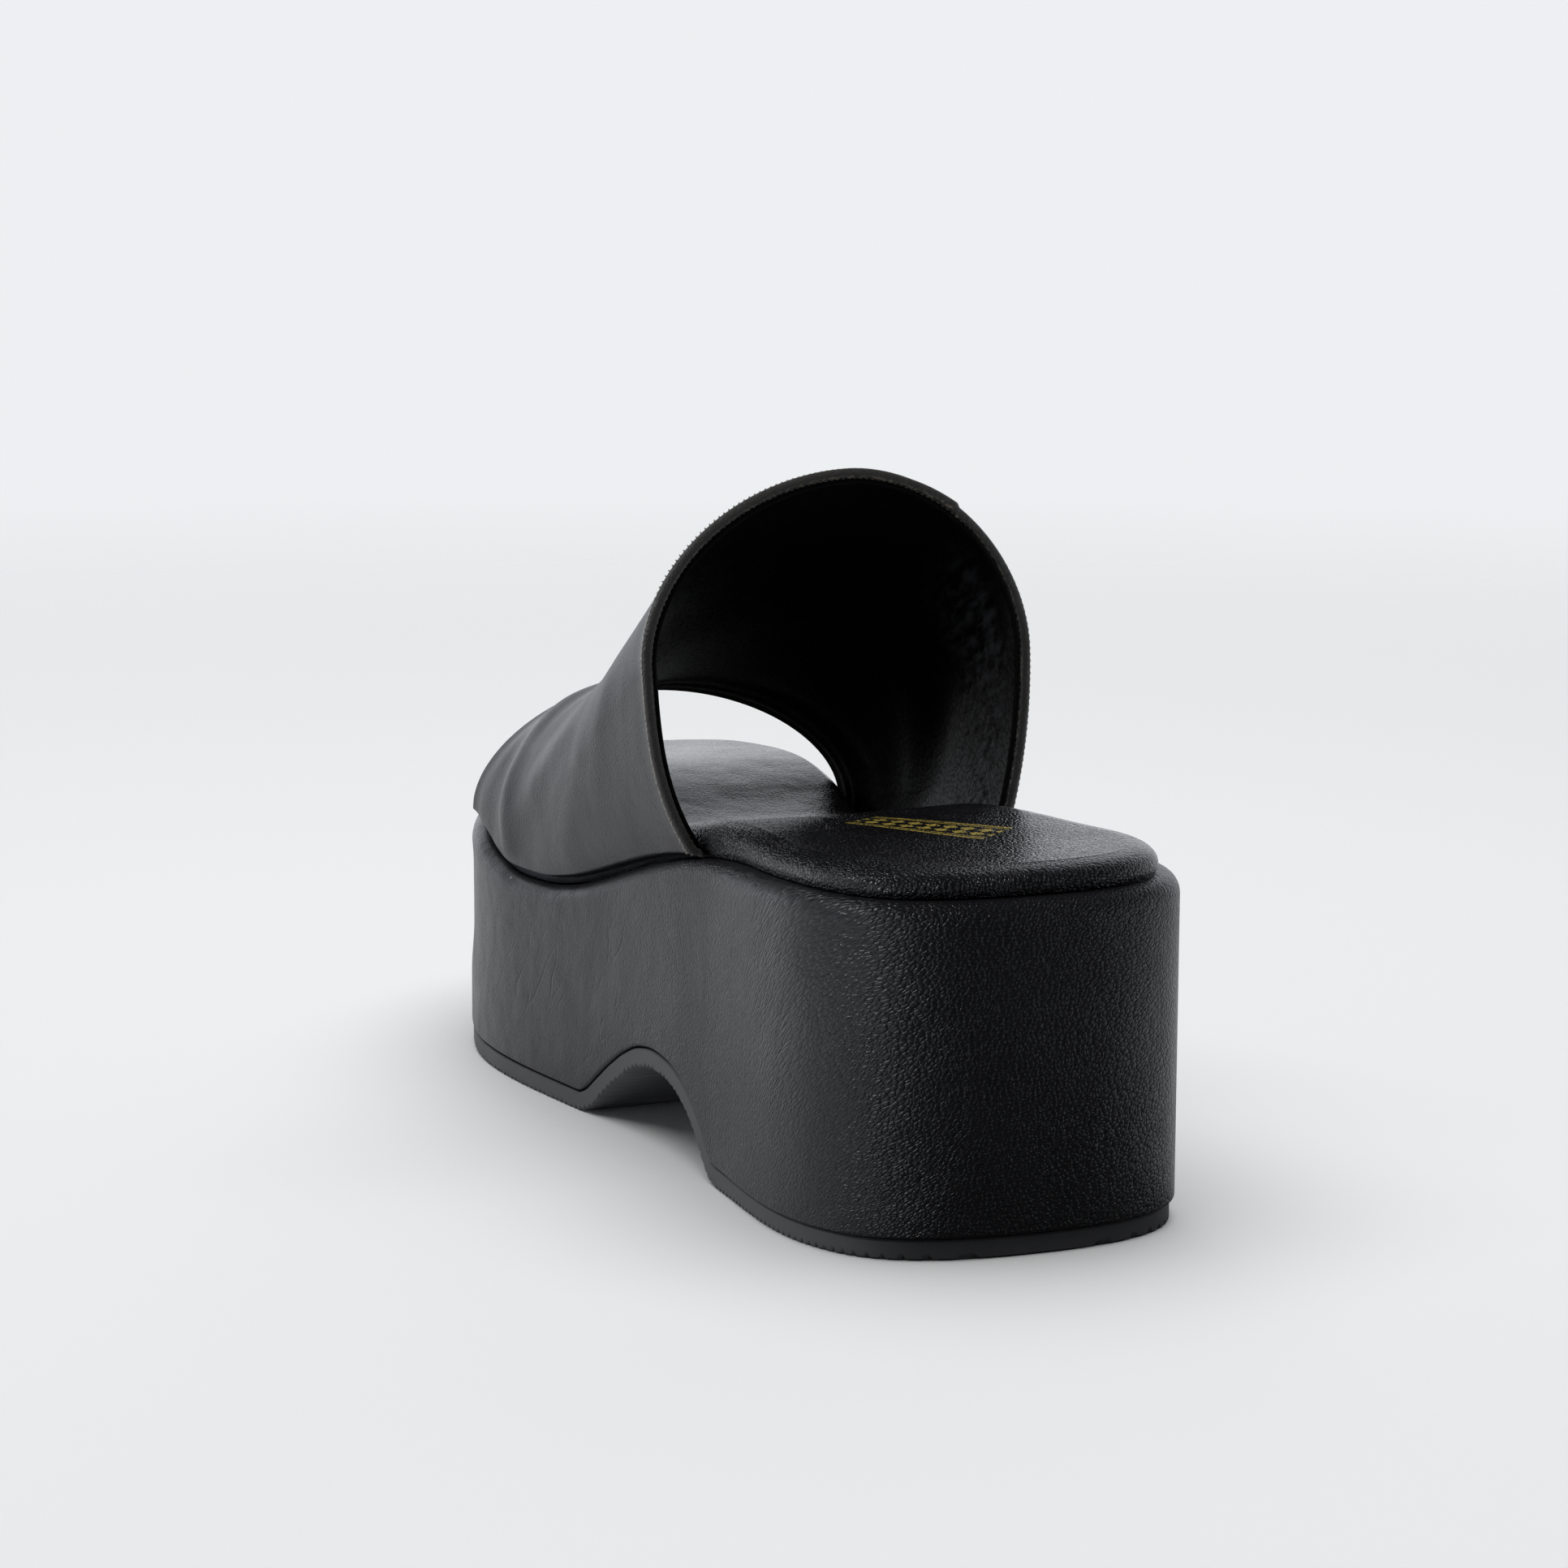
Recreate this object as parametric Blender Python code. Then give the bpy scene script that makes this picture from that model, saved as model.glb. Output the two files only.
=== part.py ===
"""Platform mule, left shoe: a slip-on with a thick leather-wrapped platform and one wide band.

The shoe is worked out in its own millimetres: u runs forward from the back of the heel, v runs to
the shoe's left, and z runs up from the ground. It stands with its toe towards -Y and its left side
towards +X, and its origin is under the middle of its outline.
"""
import bpy
import numpy as np

# Driving sizes, in millimetres
LENGTH = 250.0
BALL_LEFT = 42.2
BALL_RIGHT = 46.4
HEEL_HALF_WIDTH = 37.6
HEEL_ROUND_LENGTH = 27.8
HEEL_SQUARENESS = 2.46
# Angles of the heel's rounding, from its right side to its left, at which the outline has points
HEEL_ANGLES = (-72.0, -52.0, -30.0, 0.0, 30.0, 52.0, 72.0)
HEEL_HEIGHT = 66.2
FOREFOOT_HEIGHT = 43.7
INSTEP_HEIGHT = 134.0
NOTCH_HEIGHT = 15.7
GAP = 0.3
OUTSOLE_THICK = 3.8
TOE_SPRING_START = 185.0
TOE_SPRING_RISE = 10.0
FOOTBED_INSET = 4.1
UPPER_INSET = 1.2
WALL = 2.4
RIM_SWELL = 0.35
RIM_WIDTH = 5.0
LIP = 1.1

# Share of the band's girth, on each side, that rises from its foot to its widest point
LOWER_GIRTH = 0.28
# How the band leans forward as it rises, and how the footbed dips across its width
LEAN_POWER = 1.2
DISH_POWER = 1.2
# Heights over which a fold fades out towards the foot, on the outer and on the inner face
FOLD_FADE_OUTER = (0.0, 4.0)
FOLD_FADE_INNER = (7.0, 14.0)

# How finely the pieces are divided
PLAN_POINTS = 1440
PLAN_STEPS = 46
CLOSEST_STATIONS = 0.009
SLOPE_SAMPLES = 41
ACROSS_STEPS = 12
BAND_STEPS = 22
RIM_SHARES = (0.0, 0.02, 0.045)
GIRTH_STEPS = 36
SHARP_ANGLE = 40.0

# Plan outline of the platform: one row for each section across the shoe
OUTLINE_COLUMNS = ("u", "left", "right")
OUTLINE = (
    (60.0, 38.0, -37.4),
    (95.0, 36.4, -36.4),
    (130.0, 38.4, -38.6),
    (165.0, BALL_LEFT, -43.8),
    (195.0, 40.6, -BALL_RIGHT),
    (215.0, 33.4, -46.0),
    (231.0, 22.6, -42.8),
    (242.0, 10.0, -36.6),
    (248.2, -3.0, -27.2),
)
TOE_TIP = (LENGTH, -15.0)

# Side profiles, each a row of u and height
PLATFORM_TOP = (
    (0.0, HEEL_HEIGHT), (25.0, 66.0), (50.0, 64.8), (68.0, 63.5), (80.0, 62.0), (92.0, 59.9),
    (105.0, 56.9), (118.0, 53.1), (130.0, 49.4), (142.0, 46.2), (154.0, 44.3), (168.0, FOREFOOT_HEIGHT),
    (180.0, 45.0), (193.0, 47.5), (206.0, 49.2), (222.0, 50.3), (LENGTH, 51.0),
)
ARCH_NOTCH = (
    (67.0, 0.0), (71.0, 0.7), (74.5, 3.1), (79.0, 7.2), (84.0, 10.8), (90.0, 13.6), (96.0, 15.2),
    (102.5, NOTCH_HEIGHT), (108.5, 15.0), (114.5, 12.8), (121.0, 9.2), (127.5, 4.8), (132.0, 1.7), (136.0, 0.0),
)
# Outsole's side, set in from the platform's: most behind the heel, next to flush from the arch forward
OUTSOLE_INSET = ((0.0, 1.0), (40.0, 0.9), (72.0, 0.3), (LENGTH, 0.2))
FOOTBED_RIM = ((0.0, 4.9), (45.0, 5.1), (65.0, 5.8), (85.0, 6.7), (110.0, 7.2), (195.0, 7.5), (LENGTH, 6.2))
FOOTBED_DISH = ((0.0, 0.0), (16.0, 1.2), (34.0, 2.0), (56.0, 1.2), (85.0, 0.5), (150.0, 0.3), (LENGTH, 0.0))

# Wall of the platform: inset from the outline, then height from its lower or its upper edge
PLATFORM_FOOT = ((1.5, 0.0), (0.5, 0.5), (0.0, 1.5))
PLATFORM_SHOULDER = ((0.0, -3.8), (0.5, -1.9), (1.6, -0.6), (3.2, 0.0))
OUTSOLE_SIDE = ((0.5, 0.0), (0.0, 0.5))
# Side of the footbed: inset from its own outline, then share of the rim's height
FOOTBED_SIDE = ((0.5, 0.0), (0.0, 0.26), (0.2, 0.5), (1.1, 0.74), (2.8, 0.91), (5.6, 1.0))

# The band, from collar to toe opening: where each section stands, its crown and its widest points
BAND_COLUMNS = ("u_left", "u_top", "u_right", "z_top", "v_top", "wide_left", "wide_right", "wide_at", "round")
BAND = (
    (83.5, 97.0, 91.0, INSTEP_HEIGHT, -3.5, 43.1, -41.0, 0.50, 1.90),
    (110.0, 119.0, 114.0, 116.6, -4.5, 42.7, -41.8, 0.45, 1.96),
    (140.0, 145.0, 140.0, 99.5, -5.0, 42.2, -43.6, 0.34, 2.00),
    (172.0, 171.0, 166.0, 88.0, -4.0, 41.4, -45.6, 0.22, 1.95),
    (204.0, 195.0, 192.0, 80.0, -2.5, 37.6, -46.0, 0.14, 1.95),
)

# Main folds of the band: start and end in side view, then height (a trough is negative) and half width
FOLD_COLUMNS = ("side", "u0", "z0", "u1", "z1", "rise", "spread")
FOLDS = (
    (1, 181.0, 78.0, 171.0, 50.0, 1.1, 5.0),
    (1, 187.0, 75.0, 195.0, 51.0, 1.0, 4.5),
    (1, 137.0, 84.0, 157.0, 65.0, 0.8, 5.0),
    (1, 128.0, 74.0, 137.0, 54.0, 0.8, 5.0),
    (1, 134.0, 74.0, 160.0, 52.0, -1.0, 5.5),
    (-1, 182.0, 77.0, 172.0, 50.0, 0.9, 6.0),
    (-1, 140.0, 82.0, 150.0, 56.0, -0.8, 6.0),
)

# Finishes: base colour, roughness
LEATHER = ((0.014, 0.014, 0.017), 0.42)
BAND_LEATHER = ((0.016, 0.016, 0.020), 0.38)
INSOCK = ((0.012, 0.012, 0.014), 0.36)
RUBBER = ((0.020, 0.020, 0.021), 0.62)


def clear_scene():
    """Remove every object of the open scene."""
    for obj in list(bpy.data.objects):
        bpy.data.objects.remove(obj, do_unlink=True)


def finish(name, look):
    """A plain finish from a base colour and a roughness."""
    colour, roughness = look
    material = bpy.data.materials.new(name)
    material.use_nodes = True
    shader = material.node_tree.nodes["Principled BSDF"]
    shader.inputs["Base Color"].default_value = (*colour, 1.0)
    shader.inputs["Roughness"].default_value = roughness
    shader.inputs["Metallic"].default_value = 0.0
    return material


def smooth(rows, x):
    """Height of the smooth curve through rows of (x, y), with no overshoot between them."""
    xs, ys = np.array(rows, float).T
    step = np.diff(xs)
    slope = np.diff(ys) / step
    tangent = np.concatenate(([slope[0]], np.zeros(len(xs) - 2), [slope[-1]]))
    same = slope[:-1] * slope[1:] > 0
    before, after = step[:-1], step[1:]
    weight = 2 * after + before, after + 2 * before
    blend = np.divide(weight[0], slope[:-1], where=same, out=np.ones_like(before))
    blend = blend + np.divide(weight[1], slope[1:], where=same, out=np.ones_like(before))
    tangent[1:-1] = np.where(same, (weight[0] + weight[1]) / blend, 0.0)
    x = np.clip(x, xs[0], xs[-1])
    i = np.clip(np.searchsorted(xs, x) - 1, 0, len(step) - 1)
    t = (x - xs[i]) / step[i]
    rise = (1 + 2 * t) * (1 - t) ** 2 * ys[i] + t * t * (3 - 2 * t) * ys[i + 1]
    return rise + step[i] * t * (1 - t) * ((1 - t) * tangent[i] - t * tangent[i + 1])


def closed_spline(points, count):
    """Even points along the closed cubic curve through the given ones."""
    points = np.array(points, float)
    n = len(points)
    chord = np.hypot(*(np.roll(points, -1, 0) - points).T)
    matrix, side = np.zeros((n, n)), np.zeros((n, 2))
    for i in range(n):
        h0, h1 = chord[i - 1], chord[i]
        nxt = (i + 1) % n
        matrix[i, i - 1], matrix[i, i], matrix[i, nxt] = h1, 2 * (h0 + h1), h0
        side[i] = 3 * (h1 * (points[i] - points[i - 1]) / h0 + h0 * (points[nxt] - points[i]) / h1)
    speed = np.linalg.solve(matrix, side)
    at = np.arange(count) * n / count
    i = at.astype(int)
    t = (at - i)[:, None]
    a, b, h = points[i], points[(i + 1) % n], chord[i][:, None]
    curve = (1 + 2 * t) * (1 - t) ** 2 * a + t * t * (3 - 2 * t) * b
    return curve + h * t * (1 - t) * ((1 - t) * speed[i] - t * speed[(i + 1) % n])


def plan_curve():
    """The platform's outline in plan, anticlockwise seen with u up and v to the left."""
    heel = []
    for angle in np.radians(HEEL_ANGLES):
        power = 2 / HEEL_SQUARENESS
        v = HEEL_HALF_WIDTH * np.sign(angle) * abs(np.sin(angle)) ** power
        heel.append((HEEL_ROUND_LENGTH * (1 - np.cos(angle) ** power), v))
    sections = [dict(zip(OUTLINE_COLUMNS, row)) for row in OUTLINE]
    left = [(section["u"], section["left"]) for section in sections]
    right = [(section["u"], section["right"]) for section in reversed(sections)]
    curve = closed_spline(heel + left + [TOE_TIP] + right, PLAN_POINTS)
    low, high = curve[:, 0].min(), curve[:, 0].max()
    curve[:, 0] = (curve[:, 0] - low) * LENGTH / (high - low)
    return curve


PLAN = plan_curve()


def plan_sides(inset):
    """Left and right sides of the outline set in, by one distance or one for each of its points."""
    ahead = np.roll(PLAN, -1, 0) - np.roll(PLAN, 1, 0)
    inward = np.stack([-ahead[:, 1], ahead[:, 0]], 1) / np.hypot(*ahead.T)[:, None]
    if np.dot(inward[0], np.array([LENGTH / 2, 0]) - PLAN[0]) < 0:
        inward = -inward
    curve = PLAN + np.reshape(inset, (-1, 1)) * inward
    back, tip = curve[:, 0].argmin(), curve[:, 0].argmax()
    curve = np.roll(curve, -back, 0)
    tip = (tip - back) % len(curve)
    one, other = curve[: tip + 1], np.vstack([curve[tip:], curve[:1]])[::-1]
    return (one, other) if one[:, 1].mean() > other[:, 1].mean() else (other, one)


def side_v(u, inset, left):
    """Sideways place of the outline, set in, at a distance along the shoe."""
    side = plan_sides(inset)[0 if left else 1]
    return np.interp(u, side[:, 0], side[:, 1])


def ground(u):
    """Height of the outsole's underside: flat, with the arch notch and the toe spring."""
    u = np.asarray(u, float)
    spring = np.clip(u - TOE_SPRING_START, 0, None) / (LENGTH - TOE_SPRING_START)
    return smooth(ARCH_NOTCH, u) + TOE_SPRING_RISE * spring ** 2


def above_ground(u, thick):
    """Height of a layer that keeps one thickness over the underside, also on its slopes."""
    reach = np.linspace(-thick, thick, SLOPE_SAMPLES)
    along = np.asarray(u, float)[..., None] + reach
    ball = np.sqrt(thick ** 2 - reach ** 2)
    return (ground(np.clip(along, 0, LENGTH)) + ball).max(-1)


def platform_top(u):
    """Height of the platform's upper face."""
    return smooth(PLATFORM_TOP, np.asarray(u, float))


def stations():
    """Shares of the length at which the sole's pieces have a section, closer at ends and notch."""
    even = (1 - np.cos(np.linspace(0, np.pi, PLAN_STEPS + 1))) / 2
    corners = np.array([u for u, _ in ARCH_NOTCH]) / LENGTH
    kept = [share for share in even if abs(share - corners).min() > CLOSEST_STATIONS]
    return np.array(sorted(kept + list(corners)))


def ring(inset, height):
    """One level of a sole piece: heel point, left side, toe point, right side, as u, v and z."""
    left, right = plan_sides(inset)
    low, high = left[0, 0], left[-1, 0]
    u = low + (high - low) * stations()
    going = np.stack([u, np.interp(u, left[:, 0], left[:, 1])], 1)
    coming = np.stack([u, np.interp(u, right[:, 0], right[:, 1])], 1)[-2:0:-1]
    plan = np.vstack([going, coming])
    return np.column_stack([plan, height(plan[:, 0])])


def ring_cap(first, count, flip):
    """Faces that close a ring with a strip from its left side to its right side."""
    half = count // 2
    faces = [(0, 1, count - 1)]
    for i in range(1, half - 1):
        faces.append((i, i + 1, count - i - 1, count - i))
    faces.append((half - 1, half, half + 1))
    turned = [face[::-1] if flip else face for face in faces]
    return [tuple(first + k for k in face) for face in turned]


def ring_walls(levels, count):
    """Faces between rings that follow one another upwards."""
    faces = []
    for level in range(levels - 1):
        low = level * count
        for i in range(count):
            j = (i + 1) % count
            faces.append((low + j, low + i, low + count + i, low + count + j))
    return faces


def to_world(points):
    """Shoe millimetres to metres, with the origin under the middle of the shoe's box."""
    points = np.asarray(points, float)
    return np.column_stack([points[:, 1] - MIDDLE, LENGTH / 2 - points[:, 0], points[:, 2]]) / 1000


def add_piece(name, points, faces, material):
    """A named object from points in shoe millimetres, smooth but for its sharp edges."""
    mesh = bpy.data.meshes.new(name)
    mesh.from_pydata(to_world(points).tolist(), [], faces)
    mesh.materials.append(material)
    mesh.validate()
    mesh.shade_smooth()
    mesh.set_sharp_from_angle(angle=np.radians(SHARP_ANGLE))
    obj = bpy.data.objects.new(name, mesh)
    bpy.context.scene.collection.objects.link(obj)
    return obj


def outsole():
    """Rubber sheet under the platform, which runs through the arch notch."""
    side = smooth(OUTSOLE_INSET, PLAN[:, 0])
    levels = [ring(side + inset, lambda u, h=rise: ground(u) + h) for inset, rise in OUTSOLE_SIDE]
    levels.append(ring(side, lambda u: above_ground(u, OUTSOLE_THICK)))
    count = len(levels[0])
    faces = ring_walls(len(levels), count) + ring_cap(0, count, False)
    faces += ring_cap((len(levels) - 1) * count, count, True)
    add_piece("outsole", np.vstack(levels), faces, finish("outsole_rubber", RUBBER))


def platform():
    """Leather-wrapped block between outsole and footbed, with its rolled upper edge."""
    under = OUTSOLE_THICK + GAP
    levels = [ring(inset, lambda u, h=rise: above_ground(u, under) + h) for inset, rise in PLATFORM_FOOT]
    levels += [ring(inset, lambda u, h=drop: platform_top(u) + h) for inset, drop in PLATFORM_SHOULDER]
    count = len(levels[0])
    faces = ring_walls(len(levels), count) + ring_cap(0, count, False)
    faces += ring_cap((len(levels) - 1) * count, count, True)
    add_piece("platform", np.vstack(levels), faces, finish("platform_leather", LEATHER))


def footbed():
    """Padded insole with a round edge and a dish under the heel."""
    def level(inset, share):
        return ring(FOOTBED_INSET + inset, lambda u: platform_top(u) + GAP + share * smooth(FOOTBED_RIM, u))

    levels = [level(inset, share) for inset, share in FOOTBED_SIDE]
    count = len(levels[0])
    half = count // 2
    last = (len(levels) - 1) * count
    points = np.vstack(levels)
    faces = ring_walls(len(levels), count) + ring_cap(0, count, False)
    top = levels[-1]
    inner, rows = [], []
    for i in range(1, half):
        left, right = top[i], top[count - i]
        row = [last + i]
        for share in np.arange(1, ACROSS_STEPS) / ACROSS_STEPS:
            at = left + (right - left) * share
            dip = smooth(FOOTBED_DISH, at[0]) * np.sin(np.pi * share) ** DISH_POWER
            row.append(len(points) + len(inner))
            inner.append((at[0], at[1], at[2] - dip))
        rows.append(row + [last + count - i])
    points = np.vstack([points, inner])
    heel, toe = last, last + half
    for tip, row, turn in ((heel, rows[0], False), (toe, rows[-1], True)):
        for a, b in zip(row, row[1:]):
            faces.append((tip, a, b) if turn else (tip, b, a))
    for row, ahead in zip(rows, rows[1:]):
        for a, b, c, d in zip(row, ahead, ahead[1:], row[1:]):
            faces.append((d, c, b, a))
    add_piece("footbed", points, faces, finish("footbed_leather", INSOCK))


def band_section(share, girth):
    """Outer face of the band: share runs from collar to toe edge, girth from left base to right."""
    stops = np.linspace(0, 1, len(BAND))
    columns = zip(BAND_COLUMNS, np.array(BAND).T)
    row = {name: smooth(np.column_stack([stops, column]), share) for name, column in columns}
    left = girth < 0.5
    turn = 1 - 2 * girth if left else 2 * girth - 1
    u_base = row["u_left"] if left else row["u_right"]
    v_base = side_v(u_base, UPPER_INSET, left)
    z_base = platform_top(u_base) + GAP
    wide = row["wide_left"] if left else row["wide_right"]
    z_wide = z_base + row["wide_at"] * (row["z_top"] - z_base)
    if turn > 1 - LOWER_GIRTH:
        drop = (turn - 1 + LOWER_GIRTH) / LOWER_GIRTH
        v = wide + (v_base - wide) * drop ** 2
        z = z_wide + (z_base - z_wide) * drop
    else:
        angle = np.pi / 2 * (1 - turn / (1 - LOWER_GIRTH))
        power = 2 / row["round"]
        v = row["v_top"] + (wide - row["v_top"]) * np.cos(angle) ** power
        z = z_wide + (row["z_top"] - z_wide) * np.sin(angle) ** power
    lift = (z - z_base) / (row["z_top"] - z_base)
    u = u_base + (row["u_top"] - u_base) * lift ** LEAN_POWER
    return np.array([u, v, z])


def fold_height(point, fade):
    """How far the folds raise the band at a point, fading out towards its two feet."""
    u, v, z = point
    height = 0.0
    for row in FOLDS:
        fold = dict(zip(FOLD_COLUMNS, row))
        if fold["side"] * v <= 0:
            continue
        du, dz = fold["u1"] - fold["u0"], fold["z1"] - fold["z0"]
        from_u, from_z = u - fold["u0"], z - fold["z0"]
        along = np.clip((from_u * du + from_z * dz) / (du ** 2 + dz ** 2), 0, 1)
        away = np.hypot(from_u - along * du, from_z - along * dz)
        height += fold["rise"] * np.exp(-(away / fold["spread"]) ** 2)
    above = z - platform_top(u) - GAP
    return height * np.clip((above - fade[0]) / (fade[1] - fade[0]), 0, 1)


def band_grids():
    """Outer and inner faces of the band as grids of points, rows from collar to toe edge."""
    rim = np.array(RIM_SHARES)
    shares = np.concatenate([rim, np.linspace(0, 1, BAND_STEPS + 1)[2:-2], 1 - rim[::-1]])
    girths = np.linspace(0, 1, GIRTH_STEPS + 1)
    base = np.array([[band_section(s, g) for g in girths] for s in shares])
    along, across = np.gradient(base, axis=0), np.gradient(base, axis=1)
    normal = np.cross(along, across)
    normal /= np.linalg.norm(normal, axis=2)[..., None]
    crown = len(girths) // 2
    if normal[len(shares) // 2, crown, 2] < 0:
        normal = -normal
    length = np.linalg.norm(np.diff(base, axis=0), axis=2).cumsum(0)
    length = np.vstack([np.zeros(len(girths)), length])
    from_edge = np.minimum(length, length[-1] - length)
    swell = RIM_SWELL * np.clip(1 - from_edge / RIM_WIDTH, 0, 1) ** 0.5
    swell[:, [0, -1]] = 0
    fold_out, fold_in = (np.array([[fold_height(p, fade) for p in row] for row in base])
                         for fade in (FOLD_FADE_OUTER, FOLD_FADE_INNER))
    outer = base + normal * (swell + fold_out)[..., None]
    inner = base - normal * (WALL + swell - fold_in)[..., None]
    for column, left in ((0, True), (-1, False)):
        u = base[:, column, 0]
        inner[:, column, 0] = u
        inner[:, column, 1] = side_v(u, UPPER_INSET + WALL, left)
        inner[:, column, 2] = base[:, column, 2]
    return outer, inner


def upper():
    """The band: one hollow wall, open at the collar, at the toe and underneath."""
    outer, inner = band_grids()
    rows, columns = outer.shape[:2]
    lips = []
    for edge, behind in ((0, 1), (-1, -2)):
        middle = (outer[edge] + inner[edge]) / 2
        out = middle - (outer[behind] + inner[behind]) / 2
        out /= np.linalg.norm(out, axis=1)[:, None]
        out[[0, -1], 1:] = 0
        lips.append(middle + LIP * out)
    points = np.vstack([outer.reshape(-1, 3), inner.reshape(-1, 3)] + lips)
    size = rows * columns

    def out_at(r, c):
        return r * columns + c

    def in_at(r, c):
        return size + r * columns + c

    faces = []
    for r in range(rows - 1):
        for c in range(columns - 1):
            faces.append((out_at(r, c), out_at(r, c + 1), out_at(r + 1, c + 1), out_at(r + 1, c)))
            faces.append((in_at(r, c), in_at(r + 1, c), in_at(r + 1, c + 1), in_at(r, c + 1)))
        faces.append((out_at(r, 0), out_at(r + 1, 0), in_at(r + 1, 0), in_at(r, 0)))
        c = columns - 1
        faces.append((out_at(r + 1, c), out_at(r, c), in_at(r, c), in_at(r + 1, c)))
    for first, r, turn in ((2 * size, 0, False), (2 * size + columns, rows - 1, True)):
        edge = []
        for c in range(columns - 1):
            edge.append((out_at(r, c + 1), out_at(r, c), first + c, first + c + 1))
            edge.append((first + c + 1, first + c, in_at(r, c), in_at(r, c + 1)))
        edge.append((out_at(r, 0), in_at(r, 0), first))
        edge.append((in_at(r, columns - 1), out_at(r, columns - 1), first + columns - 1))
        faces += [face[::-1] if turn else face for face in edge]
    add_piece("upper", points, faces, finish("upper_leather", BAND_LEATHER))


def middle_v():
    """Middle of the shoe's width, from the outline and the band's widest points."""
    band = band_grids()[0][..., 1]
    sides = np.concatenate([PLAN[:, 1], band.ravel()])
    return (sides.min() + sides.max()) / 2


MIDDLE = middle_v()
clear_scene()
outsole()
platform()
footbed()
upper()
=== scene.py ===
"""Looks of the platform mule: rubber outsole, leather-wrapped platform, padded footbed and wide band."""

import bmesh
import bpy
import numpy as np
from mathutils import Matrix, Vector


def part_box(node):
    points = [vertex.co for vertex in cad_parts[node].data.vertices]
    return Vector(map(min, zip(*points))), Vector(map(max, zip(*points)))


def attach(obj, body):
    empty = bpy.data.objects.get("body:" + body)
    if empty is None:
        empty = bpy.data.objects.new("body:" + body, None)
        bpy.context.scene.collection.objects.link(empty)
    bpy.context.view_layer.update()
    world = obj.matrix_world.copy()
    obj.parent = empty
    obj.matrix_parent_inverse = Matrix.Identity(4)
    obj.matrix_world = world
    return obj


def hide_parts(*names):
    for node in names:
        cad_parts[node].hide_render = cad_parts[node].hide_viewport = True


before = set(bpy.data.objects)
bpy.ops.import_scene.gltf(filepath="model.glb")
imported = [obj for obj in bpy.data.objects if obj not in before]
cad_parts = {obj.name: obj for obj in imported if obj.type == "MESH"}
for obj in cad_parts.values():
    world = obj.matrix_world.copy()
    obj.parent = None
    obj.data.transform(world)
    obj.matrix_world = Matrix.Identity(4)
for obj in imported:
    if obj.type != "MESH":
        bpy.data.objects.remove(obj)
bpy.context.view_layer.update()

BODY = "root"

# Driving sizes in the shoe's own millimetres: u forward from the heel, v to the left, z up
LENGTH = 250.0
BALL_LEFT = 42.2
BALL_RIGHT = 46.4
HEEL_HALF_WIDTH = 37.6
HEEL_ROUND_LENGTH = 27.8
HEEL_SQUARENESS = 2.46
HEEL_ANGLES = (-72.0, -52.0, -30.0, 0.0, 30.0, 52.0, 72.0)
HEEL_HEIGHT = 66.2
FOREFOOT_HEIGHT = 43.7
INSTEP_HEIGHT = 134.0
NOTCH_HEIGHT = 15.7
GAP = 0.3
OUTSOLE_THICK = 3.8
TOE_SPRING_START = 185.0
TOE_SPRING_RISE = 10.0
FOOTBED_INSET = 4.1
UPPER_INSET = 1.2
WALL = 2.4
RIM_SWELL = 0.4
RIM_WIDTH = 5.0
LOWER_GIRTH = 0.28
LEAN_POWER = (1.15, 1.2)
LOWER_POWER = (3.0, 2.0)
FOLD_FADE_OUTER = (0.0, 4.0)
FOLD_FADE_INNER = (7.0, 14.0)
PLAN_POINTS = 2880

# Plan outline of the platform: u, left, right
OUTLINE = (
    (60.0, 38.0, -37.4),
    (95.0, 36.4, -36.4),
    (130.0, 38.4, -38.6),
    (165.0, BALL_LEFT, -43.8),
    (195.0, 40.6, -BALL_RIGHT),
    (215.0, 33.4, -46.0),
    (231.0, 22.6, -42.8),
    (242.0, 10.0, -36.6),
    (248.2, -3.0, -27.2),
)
TOE_TIP = (LENGTH, -15.0)

# Side profiles, each a row of u and height
PLATFORM_TOP = (
    (0.0, HEEL_HEIGHT), (25.0, 66.0), (50.0, 64.8), (68.0, 63.5), (80.0, 62.0), (92.0, 59.9),
    (105.0, 56.9), (118.0, 53.1), (130.0, 49.4), (142.0, 46.2), (154.0, 44.3), (168.0, FOREFOOT_HEIGHT),
    (180.0, 45.0), (193.0, 47.5), (206.0, 49.2), (222.0, 50.3), (LENGTH, 51.0),
)
ARCH_NOTCH = (
    (67.0, 0.0), (71.0, 0.7), (74.5, 3.1), (79.0, 7.2), (84.0, 10.8), (90.0, 13.6), (96.0, 15.2),
    (102.5, NOTCH_HEIGHT), (108.5, 15.0), (114.5, 12.8), (121.0, 9.2), (127.5, 4.8), (132.0, 1.7), (136.0, 0.0),
)
# Outsole's side, set in from the platform's: most behind the heel, next to flush from the arch forward
OUTSOLE_INSET = ((0.0, 1.0), (40.0, 0.9), (72.0, 0.3), (170.0, 0.2), (LENGTH, -0.2))
FOOTBED_RIM = ((0.0, 4.9), (45.0, 5.1), (65.0, 5.8), (85.0, 6.7), (110.0, 7.2), (160.0, 7.6), (202.0, 8.7), (226.0, 7.4), (LENGTH, 6.2))
FOOTBED_DISH = ((0.0, 0.0), (16.0, 1.2), (34.0, 2.0), (56.0, 1.2), (85.0, 0.5), (150.0, 0.3), (LENGTH, 0.0))
DISH_POWER = 1.2

# Side of the footbed: share of the rim's height, then inset from its own outline
FOOTBED_FULL = (0.45, 150.0, 185.0, 236.0)
FOOTBED_SIDE = ((0.0, 0.5), (0.26, 0.0), (0.5, 0.2), (0.74, 1.1), (0.91, 2.8), (1.0, 5.6))

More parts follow.
